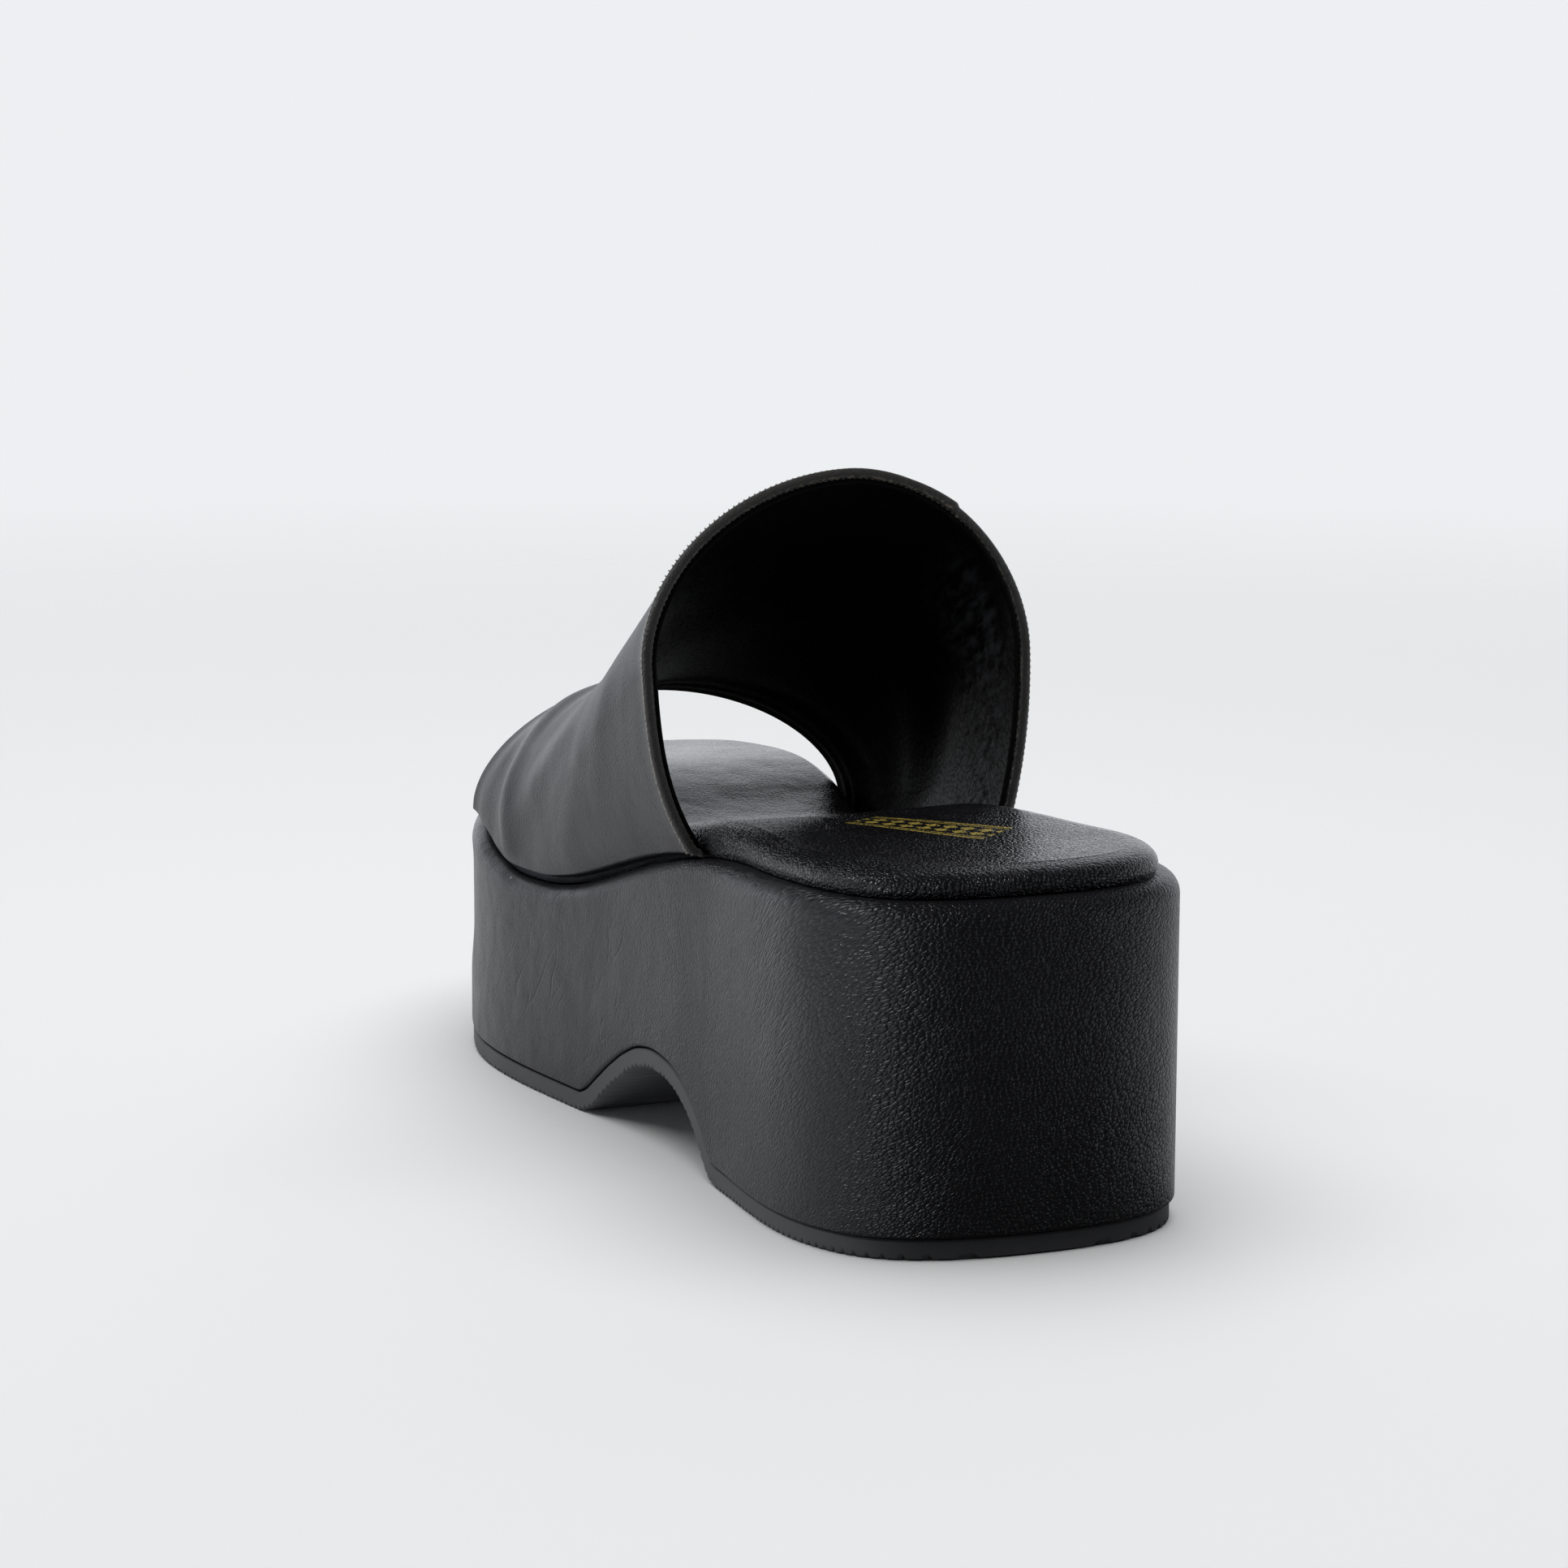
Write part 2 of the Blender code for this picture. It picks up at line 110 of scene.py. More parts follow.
# The band from collar to toe opening: where each section stands, its crown and its widest points
BAND_COLUMNS = ("u_left", "u_top", "u_right", "z_top", "v_top", "wide_left", "wide_right", "wide_at", "round")
BAND = (
    (83.5, 97.0, 91.0, INSTEP_HEIGHT, -3.5, 43.1, -41.0, 0.50, 1.90),
    (110.0, 119.0, 114.0, 116.6, -4.5, 42.7, -41.8, 0.45, 1.96),
    (140.0, 145.0, 140.0, 99.5, -5.0, 42.2, -43.6, 0.34, 2.00),
    (172.0, 171.0, 166.0, 88.0, -4.0, 41.4, -45.6, 0.22, 1.95),
    (204.0, 195.0, 192.0, 79.6, 0.5, 37.6, -46.0, 0.14, 1.83),
)

# Folds of the band in side view: side, start, middle and end as u and z, height and half width
FOLDS = (
    (1, (184.0, 77.0), (177.0, 66.0), (171.5, 50.0), 1.1, 4.2),
    (1, (187.0, 75.0), (192.0, 64.0), (195.0, 51.0), 0.45, 4.6),
    (1, (137.0, 84.0), (149.0, 76.0), (157.0, 66.0), 0.55, 4.6),
    (1, (113.0, 91.0), (116.0, 82.0), (118.0, 73.0), 0.35, 5.0),
    (1, (128.0, 74.0), (133.0, 64.0), (137.0, 54.0), 0.35, 5.0),
    (1, (134.0, 74.0), (150.0, 65.0), (160.0, 52.0), -0.5, 6.0),
    (1, (178.0, 72.0), (184.0, 60.0), (185.0, 50.0), -0.4, 5.0),
    (-1, (182.0, 77.0), (178.0, 66.0), (172.0, 50.0), 0.8, 4.6),
    (-1, (140.0, 82.0), (148.0, 70.0), (152.0, 56.0), -0.7, 5.6),
    (-1, (128.0, 84.0), (132.0, 70.0), (138.0, 56.0), 0.5, 5.6),
)
FOLD_PARTS = 8
FOLD_SIDE_FADE = 12.0

# How finely the pieces are divided
OUTSOLE_RING = 1500
PLATFORM_RING = 720
FOOTBED_RING = 560
FOOTBED_CUTS = 44
CROWDING = 0.9
BAND_ROWS = 104
ROW_CROWDING = 0.45
BEAD_ROWS = (16, 10)
TOE_ROLL = 14
GIRTH_STEPS = 330
GIRTH_CROWDING = 0.6
WALL_LEVELS = 24
ROLL_LEVELS = 10
SMOOTH_ANGLE = 40.0

# Tread of the outsole: ribs across the sole
RIB_PITCH = 2.0
RIB_DEPTH = 0.7
RIB_SHARE = 0.36
TREAD_CHAMFER = 0.4
TREAD_SIDE = 1.5
OUTSOLE_EDGE = 0.3

# Rolls of the platform's wall, radius inwards and radius along the height
FOOT_ROLL = (0.9, 0.9)
SHOULDER_ROLL = (3.2, 3.8)
SHELF = 3.0

# Lower edge of the band: how far it tucks in under its outer face, and how high, at collar and at toe
FOOT_TUCK = 2.0
TUCK_TOP = (1.2, 2.5)
TUCK_ROUND = 0.6

# Collar's rim: a wide bead of outer leather and a narrow one of lining, as shares of its width and heights
BEAD_SHARES = (0.66, 0.34)
BEAD_HEIGHTS = (1.2, 0.8)
BEAD_SQUARENESS = 0.5
PLAIN_RIM = 0.45
TOE_BEAD = 1.2
# Where the leather laps over itself on the rim, and where the lining's bead shows past it, as girths
LAP_AT = 0.652
LAP_WIDTH = 0.022
LAP_RISE = 0.5
LAP_REACH = 9.0
BEAD_FROM = 0.66
# Hems inside the toe opening, as distance from its edge and height
TOE_HEMS = ((4.5, 0.5, 1.6), (9.0, 0.35, 2.0))
# Crinkles of the lining: count of waves, their lengths, their height and where they start and end
WAVES = 16
WAVE_LENGTHS = (2.0, 6.5)
WAVE_HEIGHT = 0.08
WAVE_REACH = (5.0, 10.0, 26.0, 40.0)
WAVE_SIDE = (0.62, 0.72)

# Stitches along both edges of the rim
STITCH_PITCH = 1.25
STITCH_SIZE = (0.42, 0.18)

# Flare of the platform's wall at the forefoot: height share and inset
FLARE = ((0.0, -0.35), (0.25, -0.35), (0.55, 0.45), (0.9, 0.35), (1.0, 0.0))
FLARE_FROM = (175.0, 215.0)

# Leathers: colours in linear light, fading and turn of the wrap's grain in metres, and its relief
LEATHER_DARK = (0.0048, 0.0048, 0.0060)
LEATHER_LIGHT = (0.0064, 0.0064, 0.0078)
# Painted shade in the creases of the leathers' grain
LEATHER_CREASE_SHADE = (0.003, 0.003, 0.003)
LEATHER_GLEAM = (0.93, 0.95, 1.0, 1.0)
# Pale lines along both edges of the rim: wear and painted highlight of the ridges catching light
WORN_EDGE_HIGHLIGHT = (0.26, 0.235, 0.19)
# Brown of the rim's bead: edge colour, made lighter as painted light
RIM_EDGE_COLOUR_AND_LIGHT = (0.055, 0.051, 0.046)
# Where the pale lines of wear and painted highlight run across the rim, and how strong they are
RIM_WEAR_HIGHLIGHT = ((0.0002, 0.9), (0.0032, 0.6))
LINING_DARK = (0.001, 0.001, 0.0013)
# Painted shine of the lining's crinkles and hems
LINING_SHINE = (0.045, 0.047, 0.052)
# Painted shade: near black in the recess under the band's tucked foot
UNDERCUT_SHADE = (0.0005, 0.0005, 0.0005)
DUST = (0.30, 0.30, 0.30)
WRAP_FADE = (-0.02, 0.06)
FOOTBED_FADE = (0.0, 0.045)
WRAP_TURN = (0.02, 0.10, 0.30, 1.0)
WRAP_RELIEF = 0.19

# Foil ornament on the heel seat: centre, turn, half length, lines and rows of lozenges
FOIL_CENTRE = (61.5, -4.8, 69.5)
FOIL_TURN = 0.99
FOIL_HALF = 15.6
FOIL_LINES = ((-5.2, 0.35), (-4.0, 0.18), (4.0, 0.18), (5.2, 0.35))
FOIL_ROWS = ((-1.6, 4.0, 3.6, 1.5), (1.6, 4.0, 3.6, 1.5))
FOIL_COLOUR = (0.62, 0.47, 0.10)
FOIL_SHINE = 0.45

# Camera of the photograph
CAMERA_PLACE = (-775.87, 380.63, 235.71)
CAMERA_TURN = 22.989
CAMERA_DROP = 9.764
CAMERA_ROLL = 0.262
FOCAL_PIXELS = 6000.0
PHOTO_PIXELS = 1932
SENSOR = 36.0

# Studio: backdrop and floor, places in metres, directions and colours in linear light
ROOM_SIDE = (-0.10, 0.995, 0.0)
ROOM_EDGE = (0.60, 0.92)
ROOM_LIGHT = (0.02, 0.02, 0.022)
BACKDROP_LIGHT = (0.80, 0.83, 0.86)
BEYOND = (-0.39, -0.92, 0.0)
BEYOND_EDGE = (0.45, 0.90)
BEYOND_LIGHT = (1.4, 1.44, 1.5)
BEYOND_TOP = (0.35, 0.70)
BACKDROP_COLOUR = (0.850, 0.868, 0.885)
BACKDROP_TOP = (0.14, 0.40)
HEEL_CENTRE = (0.0, 0.06, 0.0)
FLOOR_COLOUR = (0.84, 0.845, 0.85)
FLOOR_DIM = (0.10, 0.10, 0.10)
FLOOR_FADE = (0.35, 1.2)


def smooth(rows, x):
    """Height of the smooth curve through rows of (x, y), with no overshoot between them."""
    xs, ys = np.array(rows, float).T
    step = np.diff(xs)
    slope = np.diff(ys) / step
    tangent = np.concatenate(([slope[0]], np.zeros(len(xs) - 2), [slope[-1]]))
    same = slope[:-1] * slope[1:] > 0
    before, after = step[:-1], step[1:]
    weight = 2 * after + before, after + 2 * before
    blend = np.divide(weight[0], slope[:-1], where=same, out=np.ones_like(before))
    blend = blend + np.divide(weight[1], slope[1:], where=same, out=np.ones_like(before))
    tangent[1:-1] = np.where(same, (weight[0] + weight[1]) / blend, 0.0)
    x = np.clip(x, xs[0], xs[-1])
    i = np.clip(np.searchsorted(xs, x) - 1, 0, len(step) - 1)
    t = (x - xs[i]) / step[i]
    rise = (1 + 2 * t) * (1 - t) ** 2 * ys[i] + t * t * (3 - 2 * t) * ys[i + 1]
    return rise + step[i] * t * (1 - t) * ((1 - t) * tangent[i] - t * tangent[i + 1])


def closed_spline(points, count):
    """Even points along the closed cubic curve through the given ones."""
    points = np.array(points, float)
    n = len(points)
    chord = np.hypot(*(np.roll(points, -1, 0) - points).T)
    matrix, side = np.zeros((n, n)), np.zeros((n, 2))
    for i in range(n):
        h0, h1 = chord[i - 1], chord[i]
        nxt = (i + 1) % n
        matrix[i, i - 1], matrix[i, i], matrix[i, nxt] = h1, 2 * (h0 + h1), h0
        side[i] = 3 * (h1 * (points[i] - points[i - 1]) / h0 + h0 * (points[nxt] - points[i]) / h1)
    speed = np.linalg.solve(matrix, side)
    at = np.arange(count) * n / count
    i = at.astype(int)
    t = (at - i)[:, None]
    a, b, h = points[i], points[(i + 1) % n], chord[i][:, None]
    curve = (1 + 2 * t) * (1 - t) ** 2 * a + t * t * (3 - 2 * t) * b
    return curve + h * t * (1 - t) * ((1 - t) * speed[i] - t * speed[(i + 1) % n])


def plan_curve():
    """The platform's outline in plan, from the rounded heel and the rows of its two sides."""
    heel = []
    for angle in np.radians(HEEL_ANGLES):
        power = 2 / HEEL_SQUARENESS
        v = HEEL_HALF_WIDTH * np.sign(angle) * abs(np.sin(angle)) ** power
        heel.append((HEEL_ROUND_LENGTH * (1 - np.cos(angle) ** power), v))
    left = [(u, wide) for u, wide, _ in OUTLINE]
    right = [(u, wide) for u, _, wide in reversed(OUTLINE)]
    curve = closed_spline(heel + left + [TOE_TIP] + right, PLAN_POINTS)
    low, high = curve[:, 0].min(), curve[:, 0].max()
    curve[:, 0] = (curve[:, 0] - low) * LENGTH / (high - low)
    return curve


PLAN = plan_curve()
MIDDLE = PLAN[:, 1].max() - 1000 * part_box("platform")[1].x


def to_world(points):
    """Shoe millimetres to metres in the frame."""
    points = np.asarray(points, float)
    placed = np.stack([points[..., 1] - MIDDLE, LENGTH / 2 - points[..., 0], points[..., 2]], -1)
    return placed / 1000


def to_shoe(places):
    """Metres in the frame to shoe millimetres."""
    places = np.asarray(places, float) * 1000
    return np.stack([LENGTH / 2 - places[..., 1], places[..., 0] + MIDDLE, places[..., 2]], -1)


def plan_sides(inset):
    """Left and right sides of the outline set in, by one distance or one for each of its points."""
    ahead = np.roll(PLAN, -1, 0) - np.roll(PLAN, 1, 0)
    inward = np.stack([-ahead[:, 1], ahead[:, 0]], 1) / np.hypot(*ahead.T)[:, None]
    if np.dot(inward[0], np.array([LENGTH / 2, 0]) - PLAN[0]) < 0:
        inward = -inward
    curve = PLAN + np.reshape(inset, (-1, 1)) * inward
    back, tip = curve[:, 0].argmin(), curve[:, 0].argmax()
    curve = np.roll(curve, -back, 0)
    tip = (tip - back) % len(curve)
    one, other = curve[: tip + 1], np.vstack([curve[tip:], curve[:1]])[::-1]
    return (one, other) if one[:, 1].mean() > other[:, 1].mean() else (other, one)


def side_v(u, inset, left):
    """Sideways place of the outline, set in, at a distance along the shoe."""
    side = plan_sides(inset)[0 if left else 1]
    return np.interp(u, side[:, 0], side[:, 1])


def ground(u):
    """Height of the outsole's underside: flat, with the arch notch and the toe spring."""
    u = np.asarray(u, float)
    spring = np.clip(u - TOE_SPRING_START, 0, None) / (LENGTH - TOE_SPRING_START)
    return smooth(ARCH_NOTCH, u) + TOE_SPRING_RISE * spring ** 2


def above_ground(u, thick):
    """Height of a layer that keeps one thickness over the underside, also on its slopes."""
    reach = np.linspace(-thick, thick, 41)
    along = np.asarray(u, float)[..., None] + reach
    ball = np.sqrt(thick ** 2 - reach ** 2)
    return (ground(np.clip(along, 0, LENGTH)) + ball).max(-1)


def platform_top(u):
    """Height of the platform's upper face."""
    return smooth(PLATFORM_TOP, u)


def ring(inset, height, count):
    """One level of a sole piece: its left side from heel to toe, then its right side back."""
    left, right = plan_sides(inset)
    share = (np.arange(count // 2) + 0.5) / (count // 2)
    share = share - CROWDING * np.sin(2 * np.pi * share) / (2 * np.pi)
    u = left[0, 0] + (left[-1, 0] - left[0, 0]) * share
    going = np.interp(u, left[:, 0], left[:, 1])
    coming = np.interp(u, right[:, 0], right[:, 1])
    plan = np.column_stack([np.concatenate([u, u[::-1]]), np.concatenate([going, coming[::-1]])])
    return np.column_stack([plan, height(plan[:, 0])])


# Modelling

def place_ring(obj, points):
    """Put the ring made last where the points say, by each vertex's number in the ring."""
    mesh = bmesh.from_edit_mesh(obj.data)
    mesh.verts.ensure_lookup_table()
    number = mesh.verts.layers.int["step"]
    places = to_world(points)
    for vertex in mesh.verts[-len(points):]:
        vertex.co = places[vertex[number]]


def start_ring(name, points):
    """A closed ring of numbered vertices, open in edit mode."""
    bpy.ops.object.select_all(action="DESELECT")
    bpy.ops.mesh.primitive_circle_add(vertices=len(points), radius=0.05, fill_type="NOTHING")
    obj = bpy.context.object
    obj.name = obj.data.name = name
    steps = obj.data.attributes.new("step", "INT", "POINT")
    steps.data.foreach_set("value", np.arange(len(points), dtype=np.int32))
    bpy.ops.object.mode_set(mode="EDIT")
    bpy.ops.mesh.select_mode(type="EDGE")
    bpy.ops.mesh.select_all(action="SELECT")
    place_ring(obj, points)
    return obj


def extrude_rings(name, rings):
    """A tube of rings, each one extruded from the one before."""
    obj = start_ring(name, rings[0])
    for points in rings[1:]:
        bpy.ops.mesh.extrude_region_move()
        place_ring(obj, points)
    return obj


def close_ring(obj, index, count, cuts=0):
    """Close one ring of a tube with strips between its halves, and give the number of vertices before."""
    bpy.ops.mesh.select_all(action="DESELECT")
    mesh = bmesh.from_edit_mesh(obj.data)
    mesh.verts.ensure_lookup_table()
    number = mesh.verts.layers.int["step"]
    steps = {vertex: vertex[number] for vertex in mesh.verts[index * count:(index + 1) * count]}
    known = len(mesh.verts)
    half = count // 2
    for vertex, step in steps.items():
        if step in (half - 1, count - 1):
            continue
        for edge in vertex.link_edges:
            if steps.get(edge.other_vert(vertex)) == step + 1:
                edge.select = True
    bmesh.update_edit_mesh(obj.data)
    bpy.ops.mesh.bridge_edge_loops(number_cuts=cuts)
    return known


def store(obj, name, values):
    """Keep a number at each vertex, from a table with a row for each ring and a column for each step."""
    steps = np.zeros(len(obj.data.vertices), np.int32)
    obj.data.attributes["step"].data.foreach_get("value", steps)
    rings = np.arange(len(steps)) // values.shape[1]
    kept = obj.data.attributes.new(name, "FLOAT", "POINT")
    kept.data.foreach_set("value", values[rings, steps].astype(np.float32))


def finish_piece(obj, materials, node):
    """Leave edit mode with faces outwards and smooth, give the piece its materials, attach it to the body and hide the
    CAD part it stands for.
    """
    bpy.ops.mesh.select_all(action="SELECT")
    bpy.ops.mesh.normals_make_consistent(inside=False)
    bpy.ops.object.mode_set(mode="OBJECT")
    bpy.ops.object.shade_smooth_by_angle(angle=np.radians(SMOOTH_ANGLE))
    for material in materials:
        obj.data.materials.append(material)
    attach(obj, BODY)
    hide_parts(node)
    return obj


def tread(u):
    """Height of the ribs' grooves over the outsole's underside."""
    phase = np.abs((np.asarray(u) / RIB_PITCH) % 1.0 - 0.5) * 2
    return RIB_DEPTH * np.clip((RIB_SHARE - (1 - phase)) / RIB_SHARE * 2.0, 0, 1)


def make_outsole():
    """Rubber sheet with ribs across its underside, which show as teeth at its edge."""
    count = OUTSOLE_RING
    side = smooth(OUTSOLE_INSET, PLAN[:, 0])

    def level(inset, height):
        return ring(side + inset, height, count)

    rings = [
        level(TREAD_CHAMFER, lambda u: ground(u) + tread(u)),
        level(0.0, lambda u: ground(u) + tread(u) + TREAD_CHAMFER),
        level(0.0, lambda u: ground(u) + TREAD_SIDE),
        level(0.0, lambda u: above_ground(u, OUTSOLE_THICK) - OUTSOLE_EDGE),
        level(OUTSOLE_EDGE, lambda u: above_ground(u, OUTSOLE_THICK)),
    ]
    obj = extrude_rings("outsole_rubber", rings)
    close_ring(obj, len(rings) - 1, count)
    close_ring(obj, 0, count)
    return finish_piece(obj, [rubber_material()], "outsole")


def make_platform():
    """Leather wrap of the platform, with its rolled foot and shoulder."""
    count = PLATFORM_RING
    under = OUTSOLE_THICK + GAP
    forefoot = np.clip((PLAN[:, 0] - FLARE_FROM[0]) / (FLARE_FROM[1] - FLARE_FROM[0]), 0, 1)
    quarter = np.linspace(0, np.pi / 2, ROLL_LEVELS)
    rings = []
    for angle in quarter:
        inset, rise = FOOT_ROLL[0] * (1 - np.sin(angle)), FOOT_ROLL[1] * (1 - np.cos(angle))
        inset = inset + forefoot * FLARE[0][1] * np.sin(angle)
        rings.append(ring(inset, lambda u, h=rise: above_ground(u, under) + h, count))
    def wall(share):
        return lambda u: (1 - share) * (above_ground(u, under) + FOOT_ROLL[1]) + share * shoulder(u)

    def shoulder(u):
        return platform_top(u) - SHOULDER_ROLL[1]

    for share in np.arange(1, WALL_LEVELS) / WALL_LEVELS:
        rings.append(ring(forefoot * smooth(FLARE, share), wall(share), count))
    for angle in quarter:
        inset, drop = SHOULDER_ROLL[0] * (1 - np.cos(angle)), SHOULDER_ROLL[1] * (1 - np.sin(angle))
        rings.append(ring(inset, lambda u, h=drop: platform_top(u) - h, count))
    rings.append(ring(SHOULDER_ROLL[0] + SHELF, platform_top, count))
    obj = extrude_rings("platform_wrap", rings)
    close_ring(obj, len(rings) - 1, count)
    close_ring(obj, 0, count)
    finish_piece(obj, [wrap_material()], "platform")
    store_lengths(obj, np.array(rings))


def store_lengths(obj, rings):
    """Keep how far each vertex is from the heel round the outline, left positive, and up the profile."""
    base = rings[ROLL_LEVELS]
    half = base.shape[0] // 2
    one = np.linalg.norm(np.diff(base[:half], axis=0), axis=1).cumsum()
    other = np.linalg.norm(np.diff(base[:half - 1:-1], axis=0), axis=1).cumsum()
    start = np.linalg.norm(base[0] - base[-1]) / 2
    around = np.concatenate([[start], start + one, -(start + other)[::-1], [-start]])
    profile = np.linalg.norm(np.diff(rings, axis=0), axis=2).cumsum(0)
    profile = np.vstack([np.zeros(base.shape[0]), profile])
    store(obj, "around", np.broadcast_to(around, profile.shape) / 1000)
    store(obj, "profile", profile / 1000)


def make_footbed():
    """Padded footbed with a round edge and a dish under the heel."""
    count = FOOTBED_RING
    rings = []
    small, start, full, end = FOOTBED_FULL
    round_share = np.interp(PLAN[:, 0], (start, full, end, LENGTH), (1.0, small, small, 1.0))
    round_share = np.where(PLAN[:, 1] < 0, round_share, 1.0)
    for share in np.sin(np.linspace(0, np.pi / 2, 2 * ROLL_LEVELS)) ** 1.3:
        inset = FOOTBED_INSET + float(smooth(FOOTBED_SIDE, share)) * round_share
        rings.append(ring(inset, lambda u, s=share: platform_top(u) + GAP + s * smooth(FOOTBED_RIM, u), count))
    obj = extrude_rings("footbed_pad", rings)
    known = close_ring(obj, len(rings) - 1, count, FOOTBED_CUTS)
    mesh = bmesh.from_edit_mesh(obj.data)
    mesh.verts.ensure_lookup_table()
    cut_vertices = mesh.verts[known:]
    u, v, _ = to_shoe([vertex.co for vertex in cut_vertices]).T
    inset = FOOTBED_INSET + FOOTBED_SIDE[-1][1] * round_share
    left, right = side_v(u, inset, True), side_v(u, inset, False)
    across = np.clip((left - v) / np.maximum(left - right, 1e-6), 0, 1)
    top = platform_top(u) + GAP + smooth(FOOTBED_RIM, u)
    top = top - smooth(FOOTBED_DISH, u) * np.sin(np.pi * across) ** DISH_POWER
    for vertex, place in zip(cut_vertices, to_world(np.column_stack([u, v, top]))):
        vertex.co = place
    close_ring(obj, 0, count)
    obj = finish_piece(obj, [footbed_material()], "footbed")
    return obj


def band_face(share, girth):
    """Outer face of the band: share runs from collar to toe edge, girth from left foot to right."""
    stops = np.linspace(0, 1, len(BAND))
    columns = zip(BAND_COLUMNS, np.array(BAND).T)
    row = {name: smooth(np.column_stack([stops, column]), share) for name, column in columns}
    left = girth < 0.5
    turn = np.abs(1 - 2 * girth)
    u_base = np.where(left, row["u_left"], row["u_right"])
    v_base = np.where(left, side_v(row["u_left"], UPPER_INSET, True), side_v(row["u_right"], UPPER_INSET, False))
    z_base = platform_top(u_base) + GAP
    wide = np.where(left, row["wide_left"], row["wide_right"])
    z_wide = z_base + row["wide_at"] * (row["z_top"] - z_base)
    drop = np.clip((turn - 1 + LOWER_GIRTH) / LOWER_GIRTH, 0, 1)
    angle = np.pi / 2 * (1 - np.clip(turn / (1 - LOWER_GIRTH), 0, 1))
    power = 2 / row["round"]
    lower = turn > 1 - LOWER_GIRTH
    v_arch = row["v_top"] + (wide - row["v_top"]) * np.cos(angle) ** power
    z_arch = z_wide + (row["z_top"] - z_wide) * np.sin(angle) ** power
    v = np.where(lower, wide + (v_base - wide) * drop ** np.where(left, *LOWER_POWER), v_arch)
    z = np.where(lower, z_wide + (z_base - z_wide) * drop, z_arch)
    lift = np.clip((z - z_base) / (row["z_top"] - z_base), 0, 1)
    u = u_base + (row["u_top"] - u_base) * lift ** np.where(left, *LEAN_POWER)
    return np.stack([u, v, z], -1)


def fold_height(points, fade):
    """How far the folds raise the band at its points, fading out towards its two feet."""
    u, v, z = points[..., 0], points[..., 1], points[..., 2]
    height = np.zeros_like(u)
    for side, start, middle, end, rise, spread in FOLDS:
        t = np.linspace(0, 1, FOLD_PARTS + 1)[:, None]
        line = (1 - t) ** 2 * np.array(start) + 2 * t * (1 - t) * np.array(middle) + t * t * np.array(end)
        away = np.full_like(u, np.inf)
        for (u0, z0), (u1, z1) in zip(line, line[1:]):
            du, dz = u1 - u0, z1 - z0
            along = np.clip(((u - u0) * du + (z - z0) * dz) / (du ** 2 + dz ** 2), 0, 1)
            away = np.minimum(away, np.hypot(u - u0 - along * du, z - z0 - along * dz))
        height += rise * np.exp(-(away / spread) ** 2) * np.clip(side * v / FOLD_SIDE_FADE, 0, 1)
    above = z - platform_top(u) - GAP
    return height * np.clip((above - fade[0]) / (fade[1] - fade[0]), 0, 1)


def outwards(near, far, behind):
    """Direction in which an edge of the wall points, level at the band's two feet."""
    out = (near + far) / 2 - behind
    out /= np.linalg.norm(out, axis=-1)[:, None]
    out[[0, -1], 1:] = 0
    return out / np.linalg.norm(out, axis=-1)[:, None]


def bead(near, far, out, first, last, height, count):
    """Points over a round bead that spans a stretch of the way from one face to the other."""
    angles = np.pi * (np.arange(count) + 0.5) / count
    across = first + (last - first) * (1 - np.cos(angles)) / 2
    rise = np.multiply.outer(np.sin(angles) ** BEAD_SQUARENESS, height)
    return near + (far - near) * across[:, None, None] + rise[..., None] * out


def lap(girth):
    """How far the leather's overlap raises the rim: slowly up, then down in a step."""
    return LAP_RISE * np.clip(1 - (LAP_AT - girth) / LAP_WIDTH / 3, 0, 1) * (girth < LAP_AT)


def collar_rim(near, far, out, girth):
    """The collar's rim: the outer leather's wide bead and the lining's narrow one beside it."""
    shows = PLAIN_RIM + (1 - PLAIN_RIM) * np.clip((girth - BEAD_FROM) / LAP_WIDTH, 0, 1)
    outer_height = BEAD_HEIGHTS[0] + lap(girth) / 2
    inner_height = BEAD_HEIGHTS[1] * shows
    split = BEAD_SHARES[0]
    rows = bead(near, far, out, 0.0, split, outer_height, BEAD_ROWS[0])
    return np.concatenate([rows, bead(near, far, out, split, 1.0, inner_height, BEAD_ROWS[1])])


def crinkle(past, along, girth):
    """Small irregular waves of the lining on the right side."""
    draws = np.random.default_rng(5)
    total = np.zeros(np.broadcast(past, along).shape)
    for _ in range(WAVES):
        turn = draws.uniform(0, np.pi)
        wave = 2 * np.pi / draws.uniform(*WAVE_LENGTHS)
        shift = draws.uniform(0, 2 * np.pi)
        total = total + np.sin(wave * (past * np.cos(turn) + along * np.sin(turn)) + shift)
    total = total / np.sqrt(WAVES / 2)
    reach = np.interp(past, WAVE_REACH, (0.0, 1.0, 1.0, 0.0))
    side = np.clip((girth - WAVE_SIDE[0]) / (WAVE_SIDE[1] - WAVE_SIDE[0]), 0, 1)
    return WAVE_HEIGHT * total * reach * side


def foot_tuck(base, share):
    """How far the outer face turns in under itself near the band's feet."""
    girths = base.shape[1]
    feet = np.where(np.arange(girths) < girths // 2, base[:, :1, 2], base[:, -1:, 2])
    above = base[..., 2] - feet
    top = TUCK_TOP[0] + (TUCK_TOP[1] - TUCK_TOP[0]) * share
    under = np.clip((top - above) / TUCK_ROUND, 0, 1)
    return FOOT_TUCK * under * under * (3 - 2 * under) * np.where(np.arange(girths) < girths // 2, -1, 1)


